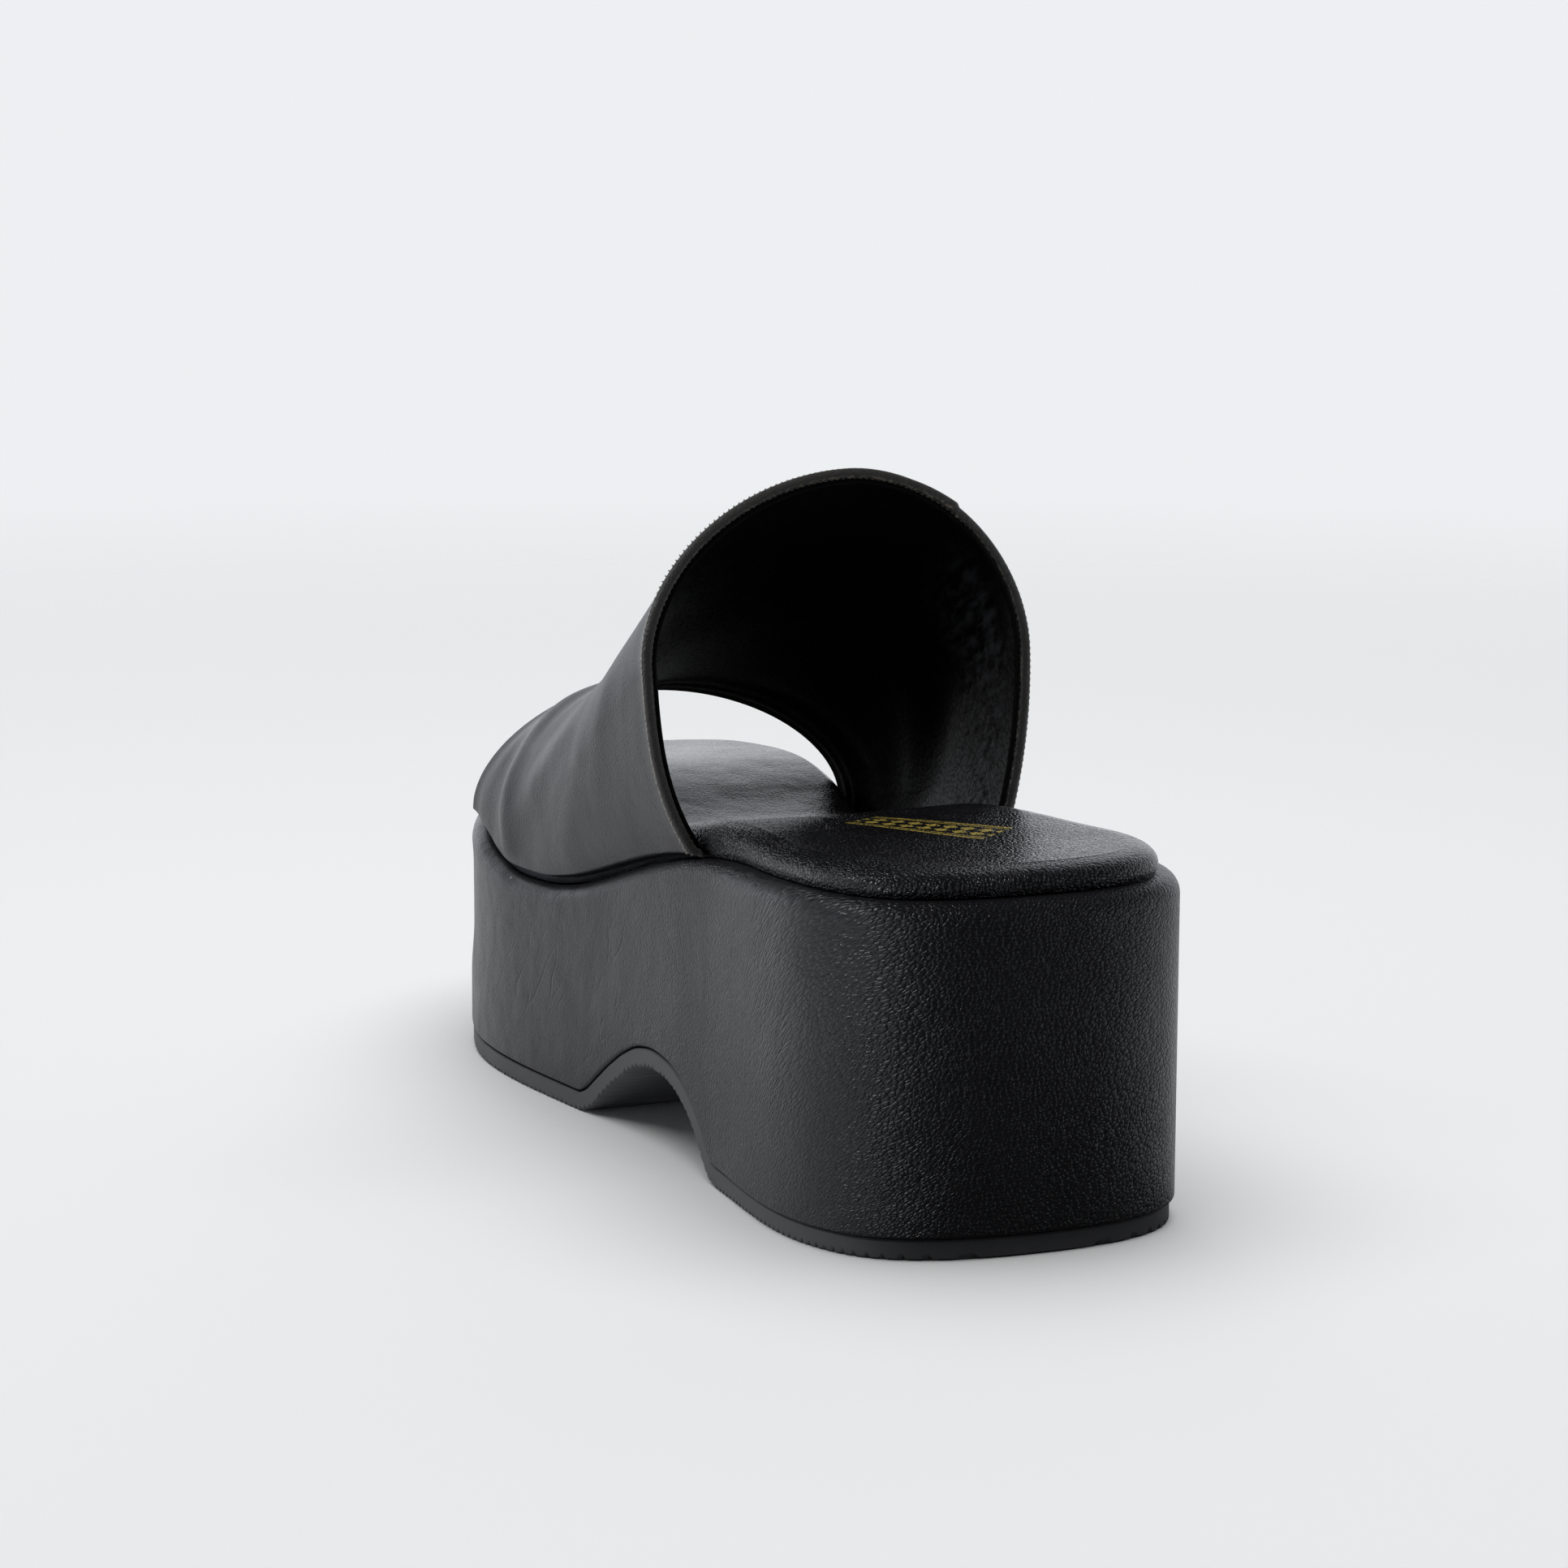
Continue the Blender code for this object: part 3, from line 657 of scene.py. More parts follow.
def band_sections():
    """Closed profiles of the band from its left foot over the instep to its right, and their lengths."""
    t = np.linspace(0, 1, BAND_ROWS)
    share = (t - ROW_CROWDING * np.sin(2 * np.pi * t) / (2 * np.pi))[:, None]
    t = np.linspace(0, 1, GIRTH_STEPS + 1)
    girth = t - GIRTH_CROWDING * np.sin(2 * np.pi * t) / (2 * np.pi)
    base = band_face(share, girth[None, :])
    normal = np.cross(np.gradient(base, axis=0), np.gradient(base, axis=1))
    normal /= np.linalg.norm(normal, axis=2)[..., None]
    if normal[BAND_ROWS // 2, GIRTH_STEPS // 2, 2] < 0:
        normal = -normal
    length = np.linalg.norm(np.diff(base, axis=0), axis=2).cumsum(0)
    length = np.vstack([np.zeros(GIRTH_STEPS + 1), length])
    along = np.linalg.norm(np.diff(base[0], axis=0), axis=1).cumsum()
    along = np.concatenate([[0], along])
    to_toe = length[-1] - length
    swell = RIM_SWELL * np.clip(1 - np.minimum(length, to_toe) / RIM_WIDTH, 0, 1) ** 2
    swell += lap(girth) * np.clip(1 - length / LAP_REACH, 0, 1)
    swell[:, [0, -1]] = 0
    outer = base + normal * (swell + fold_height(base, FOLD_FADE_OUTER))[..., None]
    outer[..., 1] += foot_tuck(base, share)
    raised = fold_height(base, FOLD_FADE_INNER) - crinkle(length, along, girth)
    for place, height, spread in TOE_HEMS:
        raised -= height * np.exp(-((to_toe - place) / spread) ** 2)
    inner = base - normal * (WALL + swell - raised - lap(girth) * np.clip(1 - length / LAP_REACH, 0, 1))[..., None]
    for column, left in ((0, True), (-1, False)):
        u = base[:, column, 0]
        inner[:, column] = np.column_stack([u, side_v(u, UPPER_INSET + WALL, left), base[:, column, 2]])
    middle = (outer + inner) / 2
    collar = collar_rim(outer[0], inner[0], outwards(outer[0], inner[0], middle[3]), girth)
    out = outwards(outer[-1], inner[-1], middle[-4])
    toe = bead(inner[-1], outer[-1], out, 0.0, 1.0, np.full(GIRTH_STEPS + 1, TOE_BEAD), TOE_ROLL)
    loop = np.concatenate([toe[TOE_ROLL // 2:], outer[::-1], collar, inner, toe[:TOE_ROLL // 2]])
    past = np.linalg.norm(np.diff(loop, axis=0), axis=2).cumsum(0)
    past = np.vstack([np.zeros(GIRTH_STEPS + 1), past])
    past -= past[TOE_ROLL - TOE_ROLL // 2 + BAND_ROWS - 1]
    tucked = np.zeros(past.shape)
    tucked[TOE_ROLL - TOE_ROLL // 2:][:BAND_ROWS] = (np.abs(foot_tuck(base, share)) / FOOT_TUCK)[::-1]
    to_edge = past[len(loop) - TOE_ROLL // 2 - 1] - past
    return loop.transpose(1, 0, 2), past.T, np.broadcast_to(along[:, None], past.T.shape), tucked.T, to_edge.T


def make_band():
    """The band: outer leather and lining as one hollow wall, open at collar, toe and underneath."""
    sections, past, along, tucked, to_edge = band_sections()
    count = sections.shape[1]
    obj = extrude_rings("band_leather", sections)
    close_ring(obj, len(sections) - 1, count)
    close_ring(obj, 0, count)
    obj = finish_piece(obj, [band_material(), lining_material()], "upper")
    store(obj, "past_rim", past / 1000)
    store(obj, "along_rim", along / 1000)
    store(obj, "tucked", tucked)
    store(obj, "to_edge", to_edge / 1000)
    first = TOE_ROLL - TOE_ROLL // 2 + BAND_ROWS + BEAD_ROWS[0]
    steps = np.zeros(len(obj.data.vertices), np.int32)
    obj.data.attributes["step"].data.foreach_get("value", steps)
    for face in obj.data.polygons:
        if min(steps[i] for i in face.vertices) >= first:
            face.material_index = 1
    make_stitches(sections, first)


def make_stitches(sections, first):
    """Short stitches along the rim's outer edge and along the seam between leather and lining."""
    bpy.ops.object.select_all(action="DESELECT")
    bpy.ops.mesh.primitive_uv_sphere_add(segments=6, ring_count=5, radius=1.0)
    stitch = bpy.context.object
    bpy.ops.object.mode_set(mode="EDIT")
    bpy.ops.transform.resize(value=(STITCH_SIZE[0] / 1000, STITCH_SIZE[1] / 1000, STITCH_SIZE[1] / 1000))
    bpy.ops.object.mode_set(mode="OBJECT")
    copies = [stitch]
    for row in (first - BEAD_ROWS[0], first):
        line = sections[2:-2, row]
        run = np.concatenate([[0], np.linalg.norm(np.diff(line, axis=0), axis=1).cumsum()])
        places = np.arange(STITCH_PITCH, run[-1], STITCH_PITCH)
        points = np.column_stack([np.interp(places, run, line[:, axis]) for axis in range(3)])
        ahead = np.column_stack([np.interp(places + 0.1, run, line[:, axis]) for axis in range(3)])
        for place, after in zip(to_world(points), to_world(ahead)):
            copy = stitch.copy()
            copy.data = stitch.data.copy()
            bpy.context.collection.objects.link(copy)
            turn = Vector(after - place).to_track_quat("X", "Z").to_matrix().to_4x4()
            copy.data.transform(Matrix.Translation(place) @ turn)
            copies.append(copy)
    bpy.data.objects.remove(stitch)
    del copies[0]
    bpy.ops.object.select_all(action="DESELECT")
    for copy in copies:
        copy.select_set(True)
    bpy.context.view_layer.objects.active = copies[0]
    bpy.ops.object.join()
    thread = copies[0]
    thread.name = thread.data.name = "rim_stitches"
    bpy.ops.object.shade_smooth()
    thread.data.materials.append(thread_material())
    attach(thread, BODY)


# Materials

def node(tree, kind, settings=None, **inputs):
    """A shader node with its settings, and with values or links for its inputs by name."""
    made = tree.nodes.new("ShaderNode" + kind)
    for name, value in (settings or {}).items():
        setattr(made, name, value)
    for name, value in inputs.items():
        wire(tree, value, made.inputs[name.replace("_", " ")])
    return made


def wire(tree, value, socket):
    """Link a socket to another, or set its value."""
    if isinstance(value, bpy.types.NodeSocket):
        tree.links.new(value, socket)
    else:
        socket.default_value = value


def maths(tree, operation, *values):
    """The result of a Math node."""
    made = node(tree, "Math", {"operation": operation})
    for value, socket in zip(values, made.inputs):
        wire(tree, value, socket)
    return made.outputs[0]


def ramp(tree, value, low, high, to_low=0.0, to_high=1.0):
    """A value taken smoothly from one range to another."""
    made = node(tree, "MapRange", {"interpolation_type": "SMOOTHSTEP"}, Value=value)
    for name, number in (("From Min", low), ("From Max", high), ("To Min", to_low), ("To Max", to_high)):
        wire(tree, number, made.inputs[name])
    return made.outputs["Result"]


def mix(tree, factor, one, other):
    """Two colours mixed by a factor."""
    made = node(tree, "Mix", {"data_type": "RGBA"})
    wire(tree, factor, made.inputs[0])
    for colour, socket in ((one, made.inputs[6]), (other, made.inputs[7])):
        wire(tree, (*colour, 1.0) if isinstance(colour, tuple) else colour, socket)
    return made.outputs[2]


def new_group(name, inputs, outputs):
    """A shader node group with named number inputs, a Vector input and named outputs."""
    group = bpy.data.node_groups.new(name, "ShaderNodeTree")
    group.interface.new_socket("Vector", in_out="INPUT", socket_type="NodeSocketVector")
    for label, value in inputs:
        socket = group.interface.new_socket(label, in_out="INPUT", socket_type="NodeSocketFloat")
        socket.default_value = value
    for label in outputs:
        group.interface.new_socket(label, in_out="OUTPUT", socket_type="NodeSocketFloat")
    return group, node_of(group, "NodeGroupInput").outputs, node_of(group, "NodeGroupOutput").inputs


def node_of(tree, kind):
    """A node of a kind that isn't a shader's."""
    return tree.nodes.new(kind)


def use_group(tree, group, **inputs):
    """A group placed in a material, with its values."""
    made = tree.nodes.new("ShaderNodeGroup")
    made.node_tree = group
    for name, value in inputs.items():
        wire(tree, value, made.inputs[name.replace("_", " ")])
    return made.outputs


def grain_group():
    """Pebbled leather grain: round cells between fine creases, with a finer grain on them."""
    group, given, out = new_group(
        "leather_grain", [("Cell", 1.0), ("Warp", 0.35), ("Fine", 0.3)], ["Height", "Crease", "Top"])
    size = maths(group, "DIVIDE", 1000.0, given["Cell"])
    noise = node(group, "TexNoise", Vector=given["Vector"], Scale=maths(group, "MULTIPLY", size, 0.45), Detail=3.0)
    centred = node(group, "VectorMath", {"operation": "SUBTRACT"})
    wire(group, noise.outputs["Color"], centred.inputs[0])
    wire(group, (0.5, 0.5, 0.5), centred.inputs[1])
    push = node(group, "VectorMath", {"operation": "SCALE"})
    wire(group, centred.outputs[0], push.inputs[0])
    wire(group, maths(group, "MULTIPLY", maths(group, "DIVIDE", given["Warp"], size), 2.0), push.inputs["Scale"])
    moved = node(group, "VectorMath", {"operation": "ADD"})
    wire(group, given["Vector"], moved.inputs[0])
    wire(group, push.outputs[0], moved.inputs[1])
    cells = node(group, "TexVoronoi", {"feature": "F1"}, Vector=moved.outputs[0], Scale=size)
    edges = node(group, "TexVoronoi", {"feature": "DISTANCE_TO_EDGE"}, Vector=moved.outputs[0], Scale=size)
    spread = maths(group, "POWER", cells.outputs["Distance"], 2.0)
    dome = maths(group, "SUBTRACT", 1.0, maths(group, "MULTIPLY", spread, 1.6))
    plateau = ramp(group, edges.outputs["Distance"], 0.0, 0.22)
    powder = node(group, "TexNoise", Vector=given["Vector"], Scale=maths(group, "MULTIPLY", size, 4.0), Detail=2.0)
    fine = maths(group, "MULTIPLY", powder.outputs["Fac"], given["Fine"])
    body = maths(group, "ADD", maths(group, "MULTIPLY", dome, 0.55), maths(group, "MULTIPLY", plateau, 0.45))
    wire(group, maths(group, "ADD", body, fine), out["Height"])
    wire(group, maths(group, "SUBTRACT", 1.0, ramp(group, edges.outputs["Distance"], 0.0, 0.12)), out["Crease"])
    wire(group, maths(group, "SUBTRACT", 1.0, ramp(group, cells.outputs["Distance"], 0.05, 0.35)), out["Top"])
    return group


def drift_group():
    """Slow changes over a surface, and rare pale specks of dust."""
    group, given, out = new_group("surface_drift", [("Scale", 40.0), ("Speck", 0.03)], ["Drift", "Specks"])
    noise = node(group, "TexNoise", Vector=given["Vector"], Scale=given["Scale"], Detail=3.0, Roughness=0.55)
    wire(group, ramp(group, noise.outputs["Fac"], 0.3, 0.7), out["Drift"])
    dots = node(group, "TexVoronoi", Vector=given["Vector"], Scale=420.0)
    chance = node(group, "SeparateColor", Color=dots.outputs["Color"])
    rare = maths(group, "LESS_THAN", chance.outputs[0], given["Speck"])
    near = maths(group, "LESS_THAN", dots.outputs["Distance"], 0.13)
    wire(group, maths(group, "MULTIPLY", rare, near), out["Specks"])
    return group


def new_material(name):
    """A material with its tree, its Principled shader and its object coordinates."""
    material = bpy.data.materials.new(name)
    material.use_nodes = True
    tree = material.node_tree
    return material, tree, tree.nodes["Principled BSDF"], node(tree, "TexCoord").outputs["Object"]


def set_shader(shader, **values):
    """Constant values on the shader's own sockets."""
    for name, value in values.items():
        shader.inputs[name.replace("_", " ")].default_value = value


def bump(tree, height, distance, strength=1.0, normal=None):
    """A Bump node's normal, from a height and its relief in millimetres."""
    made = node(tree, "Bump", Height=height, Distance=distance / 1000, Strength=strength)
    if normal is not None:
        tree.links.new(normal, made.inputs["Normal"])
    return made.outputs["Normal"]


def kept(tree, name):
    """A number kept at the mesh's vertices."""
    return node(tree, "Attribute", {"attribute_name": name}).outputs["Fac"]


def flat_place(tree, one, other):
    """Two numbers of a surface as a place on a plane."""
    return node(tree, "CombineXYZ", X=one, Y=other).outputs[0]


def moved_by_noise(tree, place, scale, distance, detail=2.0):
    """A place pushed about by a soft noise."""
    noise = node(tree, "TexNoise", Vector=place, Scale=scale, Detail=detail)
    centred = node(tree, "VectorMath", {"operation": "SUBTRACT"})
    wire(tree, noise.outputs["Color"], centred.inputs[0])
    wire(tree, (0.5, 0.5, 0.5), centred.inputs[1])
    push = node(tree, "VectorMath", {"operation": "SCALE"}, Scale=distance)
    wire(tree, centred.outputs[0], push.inputs[0])
    moved = node(tree, "VectorMath", {"operation": "ADD"})
    wire(tree, place, moved.inputs[0])
    wire(tree, push.outputs[0], moved.inputs[1])
    return moved.outputs[0]


def stretched(tree, place, turn, stretch):
    """A place in a frame turned by an angle and drawn out along its first axis."""
    turned = node(tree, "VectorRotate", {"rotation_type": "Z_AXIS"}, Vector=place, Angle=turn)
    mapping = node(tree, "Mapping", Vector=turned.outputs[0], Scale=(1 / stretch, 1.0, 1.0))
    return mapping.outputs["Vector"]


def thin_lines(tree, place, scale, width, detail=2.0):
    """Thin winding lines: one on a line, nought off it."""
    noise = node(tree, "TexNoise", Vector=place, Scale=scale, Detail=detail, Roughness=0.5)
    off = maths(tree, "ABSOLUTE", maths(tree, "SUBTRACT", noise.outputs["Fac"], 0.5))
    return ramp(tree, off, 0.0, width, 1.0, 0.0)


def leather(tree, shader, place, grain, rough):
    """Colour and roughness of black leather: painted shade in the grain's creases, slow drift and rare specks of dust.
    """
    set_shader(shader, Specular_Tint=LEATHER_GLEAM)
    drift = use_group(tree, DRIFT, Vector=place, Scale=28.0, Speck=0.003)
    base = mix(tree, drift["Drift"], LEATHER_DARK, LEATHER_LIGHT)
    # Painted shade: the grain's creases darkened
    base = mix(tree, maths(tree, "MULTIPLY", grain["Crease"], 0.7), base, LEATHER_CREASE_SHADE)
    base = mix(tree, drift["Specks"], base, DUST)
    wire(tree, base, shader.inputs["Base Color"])
    roughness = ramp(tree, drift["Drift"], 0.0, 1.0, rough[0], rough[1])
    roughness = maths(tree, "ADD", roughness, maths(tree, "MULTIPLY", grain["Crease"], 0.10))
    wire(tree, roughness, shader.inputs["Roughness"])
    return drift, base


def wrap_material():
    """Wrap of the platform: pebbled and drawn askew round the heel, finer and smoother towards the toe."""
    material, tree, shader, place = new_material("platform_wrap")
    flat = flat_place(tree, kept(tree, "around"), kept(tree, "profile"))
    bent = moved_by_noise(tree, flat, 24.0, 0.009, 1.0)
    forward = node(tree, "SeparateXYZ", Vector=place).outputs["Y"]
    heel = ramp(tree, forward, *WRAP_FADE)
    turn = ramp(tree, kept(tree, "around"), *WRAP_TURN)
    drawn = stretched(tree, bent, turn, 1.5)
    grain = use_group(tree, GRAIN, Vector=drawn, Cell=0.66, Fine=0.1)
    leather(tree, shader, place, grain, (0.33, 0.39))
    lines = thin_lines(tree, stretched(tree, bent, turn, 3.0), 110.0, 0.02)
    patch = node(tree, "TexNoise", Vector=flat, Scale=35.0, Detail=2.0)
    some = ramp(tree, patch.outputs["Fac"], 0.45, 0.62)
    upright = stretched(tree, moved_by_noise(tree, flat, 20.0, 0.02), 1.3, 2.2)
    soft = node(tree, "TexNoise", Vector=upright, Scale=160.0, Detail=4.0, Roughness=0.6)
    toe = maths(tree, "SUBTRACT", 1.0, heel)
    height = maths(tree, "MULTIPLY", grain["Height"], ramp(tree, forward, *WRAP_FADE, 0.18, 1.0))
    height = maths(tree, "SUBTRACT", height, maths(tree, "MULTIPLY", maths(tree, "MULTIPLY", lines, some), 0.55))
    height = maths(tree, "ADD", height, maths(tree, "MULTIPLY", soft.outputs["Fac"], maths(tree, "MULTIPLY", toe, 0.6)))
    swell = node(tree, "TexNoise", Vector=bent, Scale=70.0, Detail=2.0)
    wide = bump(tree, swell.outputs["Fac"], 0.9)
    wire(tree, bump(tree, height, WRAP_RELIEF, normal=wide), shader.inputs["Normal"])
    return material


def band_material():
    """Outer leather of the band: supple and finely grained, gathered along its rim, with pale lines of wear and painted
    highlight along the rim's edges, the rim painted a lighter brown as edge colour and painted light, and painted shade
    in the tuck under its foot.
    """
    material, tree, shader, place = new_material("band_leather")
    past, along = kept(tree, "past_rim"), kept(tree, "along_rim")
    bent = moved_by_noise(tree, place, 35.0, 0.008)
    grain = use_group(tree, GRAIN, Vector=bent, Cell=0.6, Fine=0.35)
    drift, base = leather(tree, shader, place, grain, (0.37, 0.45))
    # Rim mixed to a lighter brown: edge colour and painted light
    base = mix(tree, ramp(tree, past, -0.0004, 0.0008, 0.0, 0.5), base, RIM_EDGE_COLOUR_AND_LIGHT)
    # Pale broken lines along the rim's edges: wear and painted highlight
    wear_glint_noise = node(tree, "TexNoise", Vector=place, Scale=1100.0, Detail=3.0)
    wear_and_glint = ramp(tree, wear_glint_noise.outputs["Fac"], 0.47, 0.60)
    for at, strength in RIM_WEAR_HIGHLIGHT:
        off = maths(tree, "ABSOLUTE", maths(tree, "SUBTRACT", past, at))
        edge = maths(tree, "MULTIPLY", ramp(tree, off, 0.0, 0.0006, strength, 0.0), wear_and_glint)
        base = mix(tree, edge, base, WORN_EDGE_HIGHLIGHT)
    # Painted shade in the tucked recess under the band's foot: near-black colour, and metallic so that it gives no
    # light back
    tucked = kept(tree, "tucked")
    base = mix(tree, tucked, base, UNDERCUT_SHADE)
    wire(tree, base, shader.inputs["Base Color"])
    wire(tree, tucked, shader.inputs["Metallic"])
    rim = ramp(tree, past, -0.001, 0.0008)
    flat = flat_place(tree, along, past)
    gathers = node(tree, "TexNoise", Vector=stretched(tree, flat, 1.57, 3.0), Scale=420.0, Detail=2.0)
    height = maths(tree, "ADD", maths(tree, "MULTIPLY", grain["Height"], 0.45),
                   maths(tree, "MULTIPLY", maths(tree, "MULTIPLY", gathers.outputs["Fac"], rim), 3.2))
    swell = node(tree, "TexNoise", Vector=bent, Scale=60.0, Detail=2.0)
    wide = bump(tree, swell.outputs["Fac"], 0.7)
    wire(tree, bump(tree, height, 0.12, normal=wide), shader.inputs["Normal"])
    return material


def lining_material():
    """Dark lining of the band, with a fine crinkle, and painted shine on its crinkles on the right side and along the
    hems by the toe opening.
    """
    material, tree, shader, place = new_material("band_lining")
    grain = use_group(tree, GRAIN, Vector=moved_by_noise(tree, place, 60.0, 0.006), Cell=1.5, Fine=0.5)
    set_shader(shader, Specular_IOR_Level=0.10)
    past, along, to_edge = kept(tree, "past_rim"), kept(tree, "along_rim"), kept(tree, "to_edge")
    flat = flat_place(tree, along, past)
    shine_wrinkles = node(tree, "TexNoise", Vector=stretched(tree, flat, 1.4, 2.5), Scale=420.0, Detail=4.0)
    # Painted shine: a patch over the crinkles on the right side
    patch = ramp(tree, past, 0.006, 0.016)
    for value, low, high in ((past, 0.042, 0.026), (along, 0.125, 0.150), (along, 0.220, 0.200)):
        patch = maths(tree, "MULTIPLY", patch, ramp(tree, value, low, high))
    patch = maths(tree, "MULTIPLY", patch, ramp(tree, shine_wrinkles.outputs["Fac"], 0.40, 0.68))
    shine_streaks = node(tree, "TexNoise", Vector=stretched(tree, flat, 0.0, 9.0), Scale=700.0, Detail=1.0)
    # Painted shine: streaks along the hems by the toe opening
    hem_shine = ramp(tree, to_edge, 0.001, 0.004)
    for value, low, high in ((to_edge, 0.016, 0.008), (along, 0.06, 0.085), (along, 0.15, 0.11)):
        hem_shine = maths(tree, "MULTIPLY", hem_shine, ramp(tree, value, low, high))
    hem_shine = maths(tree, "MULTIPLY", hem_shine, ramp(tree, shine_streaks.outputs["Fac"], 0.45, 0.65))
    base = mix(tree, maths(tree, "MAXIMUM", patch, hem_shine), LINING_DARK, LINING_SHINE)
    wire(tree, base, shader.inputs["Base Color"])
    wire(tree, maths(tree, "ADD", 0.46, maths(tree, "MULTIPLY", grain["Crease"], 0.15)), shader.inputs["Roughness"])
    wire(tree, bump(tree, grain["Height"], 0.05), shader.inputs["Normal"])
    return material


def thread_material():
    """Waxed black thread, coloured pale grey-brown as a painted highlight."""
    material, tree, shader, place = new_material("rim_thread")
    # Painted highlight: pale colour for black thread that catches the light
    set_shader(shader, Base_Color=(0.30, 0.28, 0.25, 1.0), Roughness=0.4)
    return material


def footbed_material():
    """Soft leather of the footbed, with its foil ornament on the heel seat."""
    material, tree, shader, place = new_material("footbed_leather")
    axes = node(tree, "SeparateXYZ", Vector=place).outputs
    bent = moved_by_noise(tree, place, 45.0, 0.006)
    grain = use_group(tree, GRAIN, Vector=bent, Cell=0.8, Fine=0.2)
    drift, base = leather(tree, shader, place, grain, (0.22, 0.28))
    foil = use_group(tree, FOIL, Vector=place)["Mask"]
    wire(tree, mix(tree, foil, base, FOIL_COLOUR), shader.inputs["Base Color"])
    wire(tree, maths(tree, "MULTIPLY", foil, FOIL_SHINE), shader.inputs["Metallic"])
    swell = node(tree, "TexNoise", Vector=bent, Scale=70.0, Detail=2.0)
    wide = bump(tree, swell.outputs["Fac"], 0.5)
    height = maths(tree, "MULTIPLY", grain["Height"], ramp(tree, axes["Y"], *FOOTBED_FADE, 0.15, 1.0))
    wire(tree, bump(tree, height, 0.22, normal=wide), shader.inputs["Normal"])
    return material


def foil_group():
    """Foil ornament: rows of slim lozenges between thin lines, broken here and there."""
    group, given, out = new_group("foil_ornament", [], ["Mask"])
    moved = node(group, "VectorMath", {"operation": "SUBTRACT"})
    wire(group, given["Vector"], moved.inputs[0])
    wire(group, tuple(to_world(FOIL_CENTRE)), moved.inputs[1])
    turned = node(group, "VectorRotate", {"rotation_type": "Z_AXIS"}, Vector=moved.outputs[0], Angle=FOIL_TURN)
    axes = node(group, "SeparateXYZ", Vector=turned.outputs[0]).outputs
    along = maths(group, "MULTIPLY", axes["X"], 1000.0)
    across = maths(group, "MULTIPLY", axes["Y"], 1000.0)
    inside = maths(group, "LESS_THAN", maths(group, "ABSOLUTE", along), FOIL_HALF)
    total = None
    for place, half in FOIL_LINES:
        off = maths(group, "ABSOLUTE", maths(group, "SUBTRACT", across, place))
        line = ramp(group, off, half - 0.05, half + 0.05, 1.0, 0.0)
        total = line if total is None else maths(group, "MAXIMUM", total, line)
    for place, pitch, length, half in FOIL_ROWS:
        near = maths(group, "ABSOLUTE", maths(group, "PINGPONG", along, pitch / 2))
        slant = maths(group, "ADD", maths(group, "DIVIDE", near, length / 2), maths(
            group, "DIVIDE", maths(group, "ABSOLUTE", maths(group, "SUBTRACT", across, place)), half))
        total = maths(group, "MAXIMUM", total, ramp(group, slant, 0.9, 1.05, 1.0, 0.0))
    flakes = node(group, "TexNoise", Vector=given["Vector"], Scale=1500.0, Detail=3.0)
    whole = ramp(group, flakes.outputs["Fac"], 0.38, 0.46)
    wire(group, maths(group, "MULTIPLY", maths(group, "MULTIPLY", total, inside), whole), out["Mask"])
    return group


def rubber_material():
    """Matt moulded rubber of the outsole, with a few dust specks."""
    material, tree, shader, place = new_material("outsole_rubber")
    drift = use_group(tree, DRIFT, Vector=place, Scale=60.0, Speck=0.03)
    base = mix(tree, drift["Drift"], (0.055, 0.056, 0.060), (0.072, 0.073, 0.078))
    base = mix(tree, drift["Specks"], base, DUST)
    wire(tree, base, shader.inputs["Base Color"])
    wire(tree, ramp(tree, drift["Drift"], 0.0, 1.0, 0.55, 0.68), shader.inputs["Roughness"])
    powder = node(tree, "TexNoise", Vector=place, Scale=2500.0, Detail=2.0)
    wire(tree, bump(tree, powder.outputs["Fac"], 0.03), shader.inputs["Normal"])
    return material


# Stage

def make_camera():
    """Camera at the photograph's place, turn, drop, roll and lens."""
    lens = SENSOR * FOCAL_PIXELS / PHOTO_PIXELS
    bpy.ops.object.camera_add()
    camera = bpy.context.object
    camera.data.lens, camera.data.sensor_width = lens, SENSOR
    camera.data.clip_start, camera.data.clip_end = 0.01, 50.0
    turn = Matrix.Rotation(np.pi - np.radians(CAMERA_TURN), 4, "Z")
    drop = Matrix.Rotation(np.pi / 2 - np.radians(CAMERA_DROP), 4, "X")
    spin = Matrix.Rotation(np.radians(CAMERA_ROLL), 4, "Z")
    camera.matrix_world = Matrix.Translation(to_world(CAMERA_PLACE)) @ turn @ drop @ spin
    bpy.context.scene.camera = camera


def make_floor():
    """Pale floor round the shoe, which fades out into the backdrop, and is dim towards the room."""
    bpy.ops.mesh.primitive_circle_add(vertices=64, radius=FLOOR_FADE[1] * 1.2, fill_type="NGON")
    floor = bpy.context.object
    floor.name = "floor"
    material, tree, shader, place = new_material("floor")
    set_shader(shader, Roughness=0.9, Specular_IOR_Level=0.1)
    from_heel = node(tree, "VectorMath", {"operation": "SUBTRACT"})
    wire(tree, place, from_heel.inputs[0])
    wire(tree, HEEL_CENTRE, from_heel.inputs[1])
    towards = node(tree, "VectorMath", {"operation": "NORMALIZE"})
    wire(tree, from_heel.outputs[0], towards.inputs[0])
    room = ramp(tree, facing(tree, towards.outputs[0], ROOM_SIDE), *ROOM_EDGE)
    seen = node(tree, "LightPath").outputs["Is Camera Ray"]
    dim = maths(tree, "MULTIPLY", room, maths(tree, "SUBTRACT", 1.0, seen))
    wire(tree, mix(tree, dim, FLOOR_COLOUR, FLOOR_DIM), shader.inputs["Base Color"])
    away = node(tree, "VectorMath", {"operation": "LENGTH"})
    wire(tree, place, away.inputs[0])
    wire(tree, ramp(tree, away.outputs["Value"], *FLOOR_FADE, 1.0, 0.0), shader.inputs["Alpha"])
    floor.data.materials.append(material)


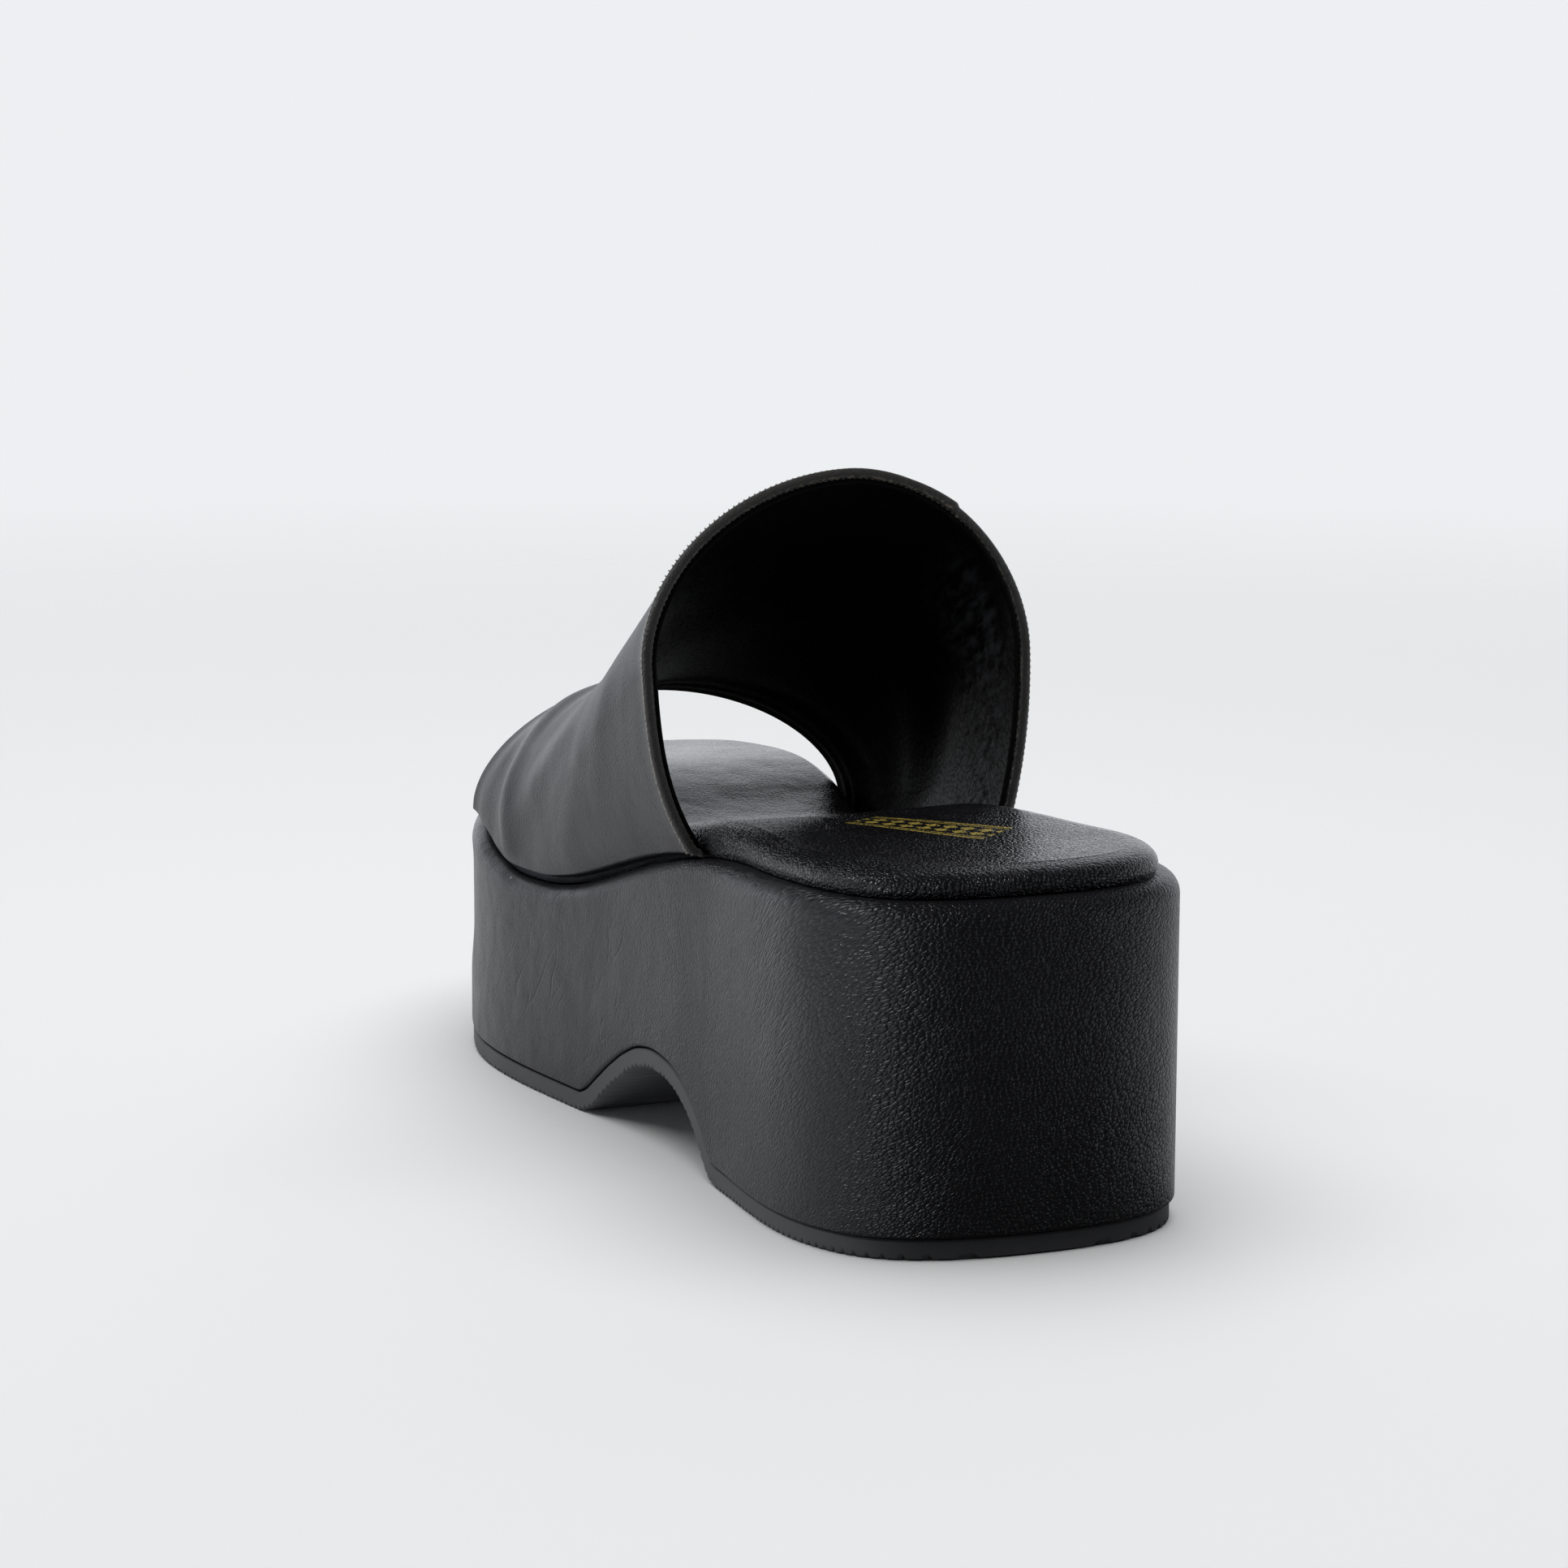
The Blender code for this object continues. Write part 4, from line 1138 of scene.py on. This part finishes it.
def facing(tree, vector, direction):
    """How far a vector points in a direction, from -1 to 1."""
    made = node(tree, "VectorMath", {"operation": "DOT_PRODUCT"})
    wire(tree, vector, made.inputs[0])
    wire(tree, direction, made.inputs[1])
    return made.outputs["Value"]


def make_world():
    """Pale backdrop round the shoe, up to a low height, dark above and on the room's side."""
    world = bpy.data.worlds.new("studio")
    bpy.context.scene.world = world
    world.use_nodes = True
    tree = world.node_tree
    direction = node(tree, "TexCoord").outputs["Generated"]
    sides = ramp(tree, facing(tree, direction, ROOM_SIDE), *ROOM_EDGE, 1.0, 0.0)
    low = ramp(tree, facing(tree, direction, (0.0, 0.0, 1.0)), *BACKDROP_TOP, 1.0, 0.0)
    beyond = ramp(tree, facing(tree, direction, BEYOND), *BEYOND_EDGE)
    backdrop = mix(tree, beyond, BACKDROP_LIGHT, BEYOND_LIGHT)
    high = ramp(tree, facing(tree, direction, (0.0, 0.0, 1.0)), *BEYOND_TOP, 1.0, 0.0)
    lit = maths(tree, "MAXIMUM", maths(tree, "MULTIPLY", sides, low), maths(tree, "MULTIPLY", beyond, high))
    light = mix(tree, lit, ROOM_LIGHT, backdrop)
    seen = node(tree, "LightPath").outputs["Is Camera Ray"]
    wire(tree, mix(tree, seen, light, BACKDROP_COLOUR), tree.nodes["Background"].inputs["Color"])


def area_light(name, place, aim, size, power, glossy=True, diffuse=True):
    """A soft box at a place, turned towards a point, both in metres."""
    bpy.ops.object.light_add(type="AREA", location=place)
    light = bpy.context.object
    light.name = name
    light.data.shape = "RECTANGLE"
    light.data.size, light.data.size_y = size
    light.data.energy = power
    light.visible_glossy = glossy
    light.visible_diffuse = diffuse
    light.rotation_euler = (Vector(aim) - Vector(place)).to_track_quat("-Z", "Y").to_euler()


def make_light():
    """Plain soft studio light: the backdrop, and a large soft box overhead for the floor."""
    make_world()
    area_light("overhead_box", (0.05, -0.08, 1.5), (0.0, 0.0, 0.0), (2.2, 2.2), 33.5, glossy=False)
    area_light("glint_box", (1.15, -0.05, 1.2), (0.0, 0.06, 0.05), (0.55, 0.55), 12.0, diffuse=False)
    bpy.context.scene.view_settings.view_transform = "Standard"


GRAIN = grain_group()
DRIFT = drift_group()
FOIL = foil_group()
make_camera()
make_floor()
make_light()
make_outsole()
make_platform()
make_footbed()
make_band()
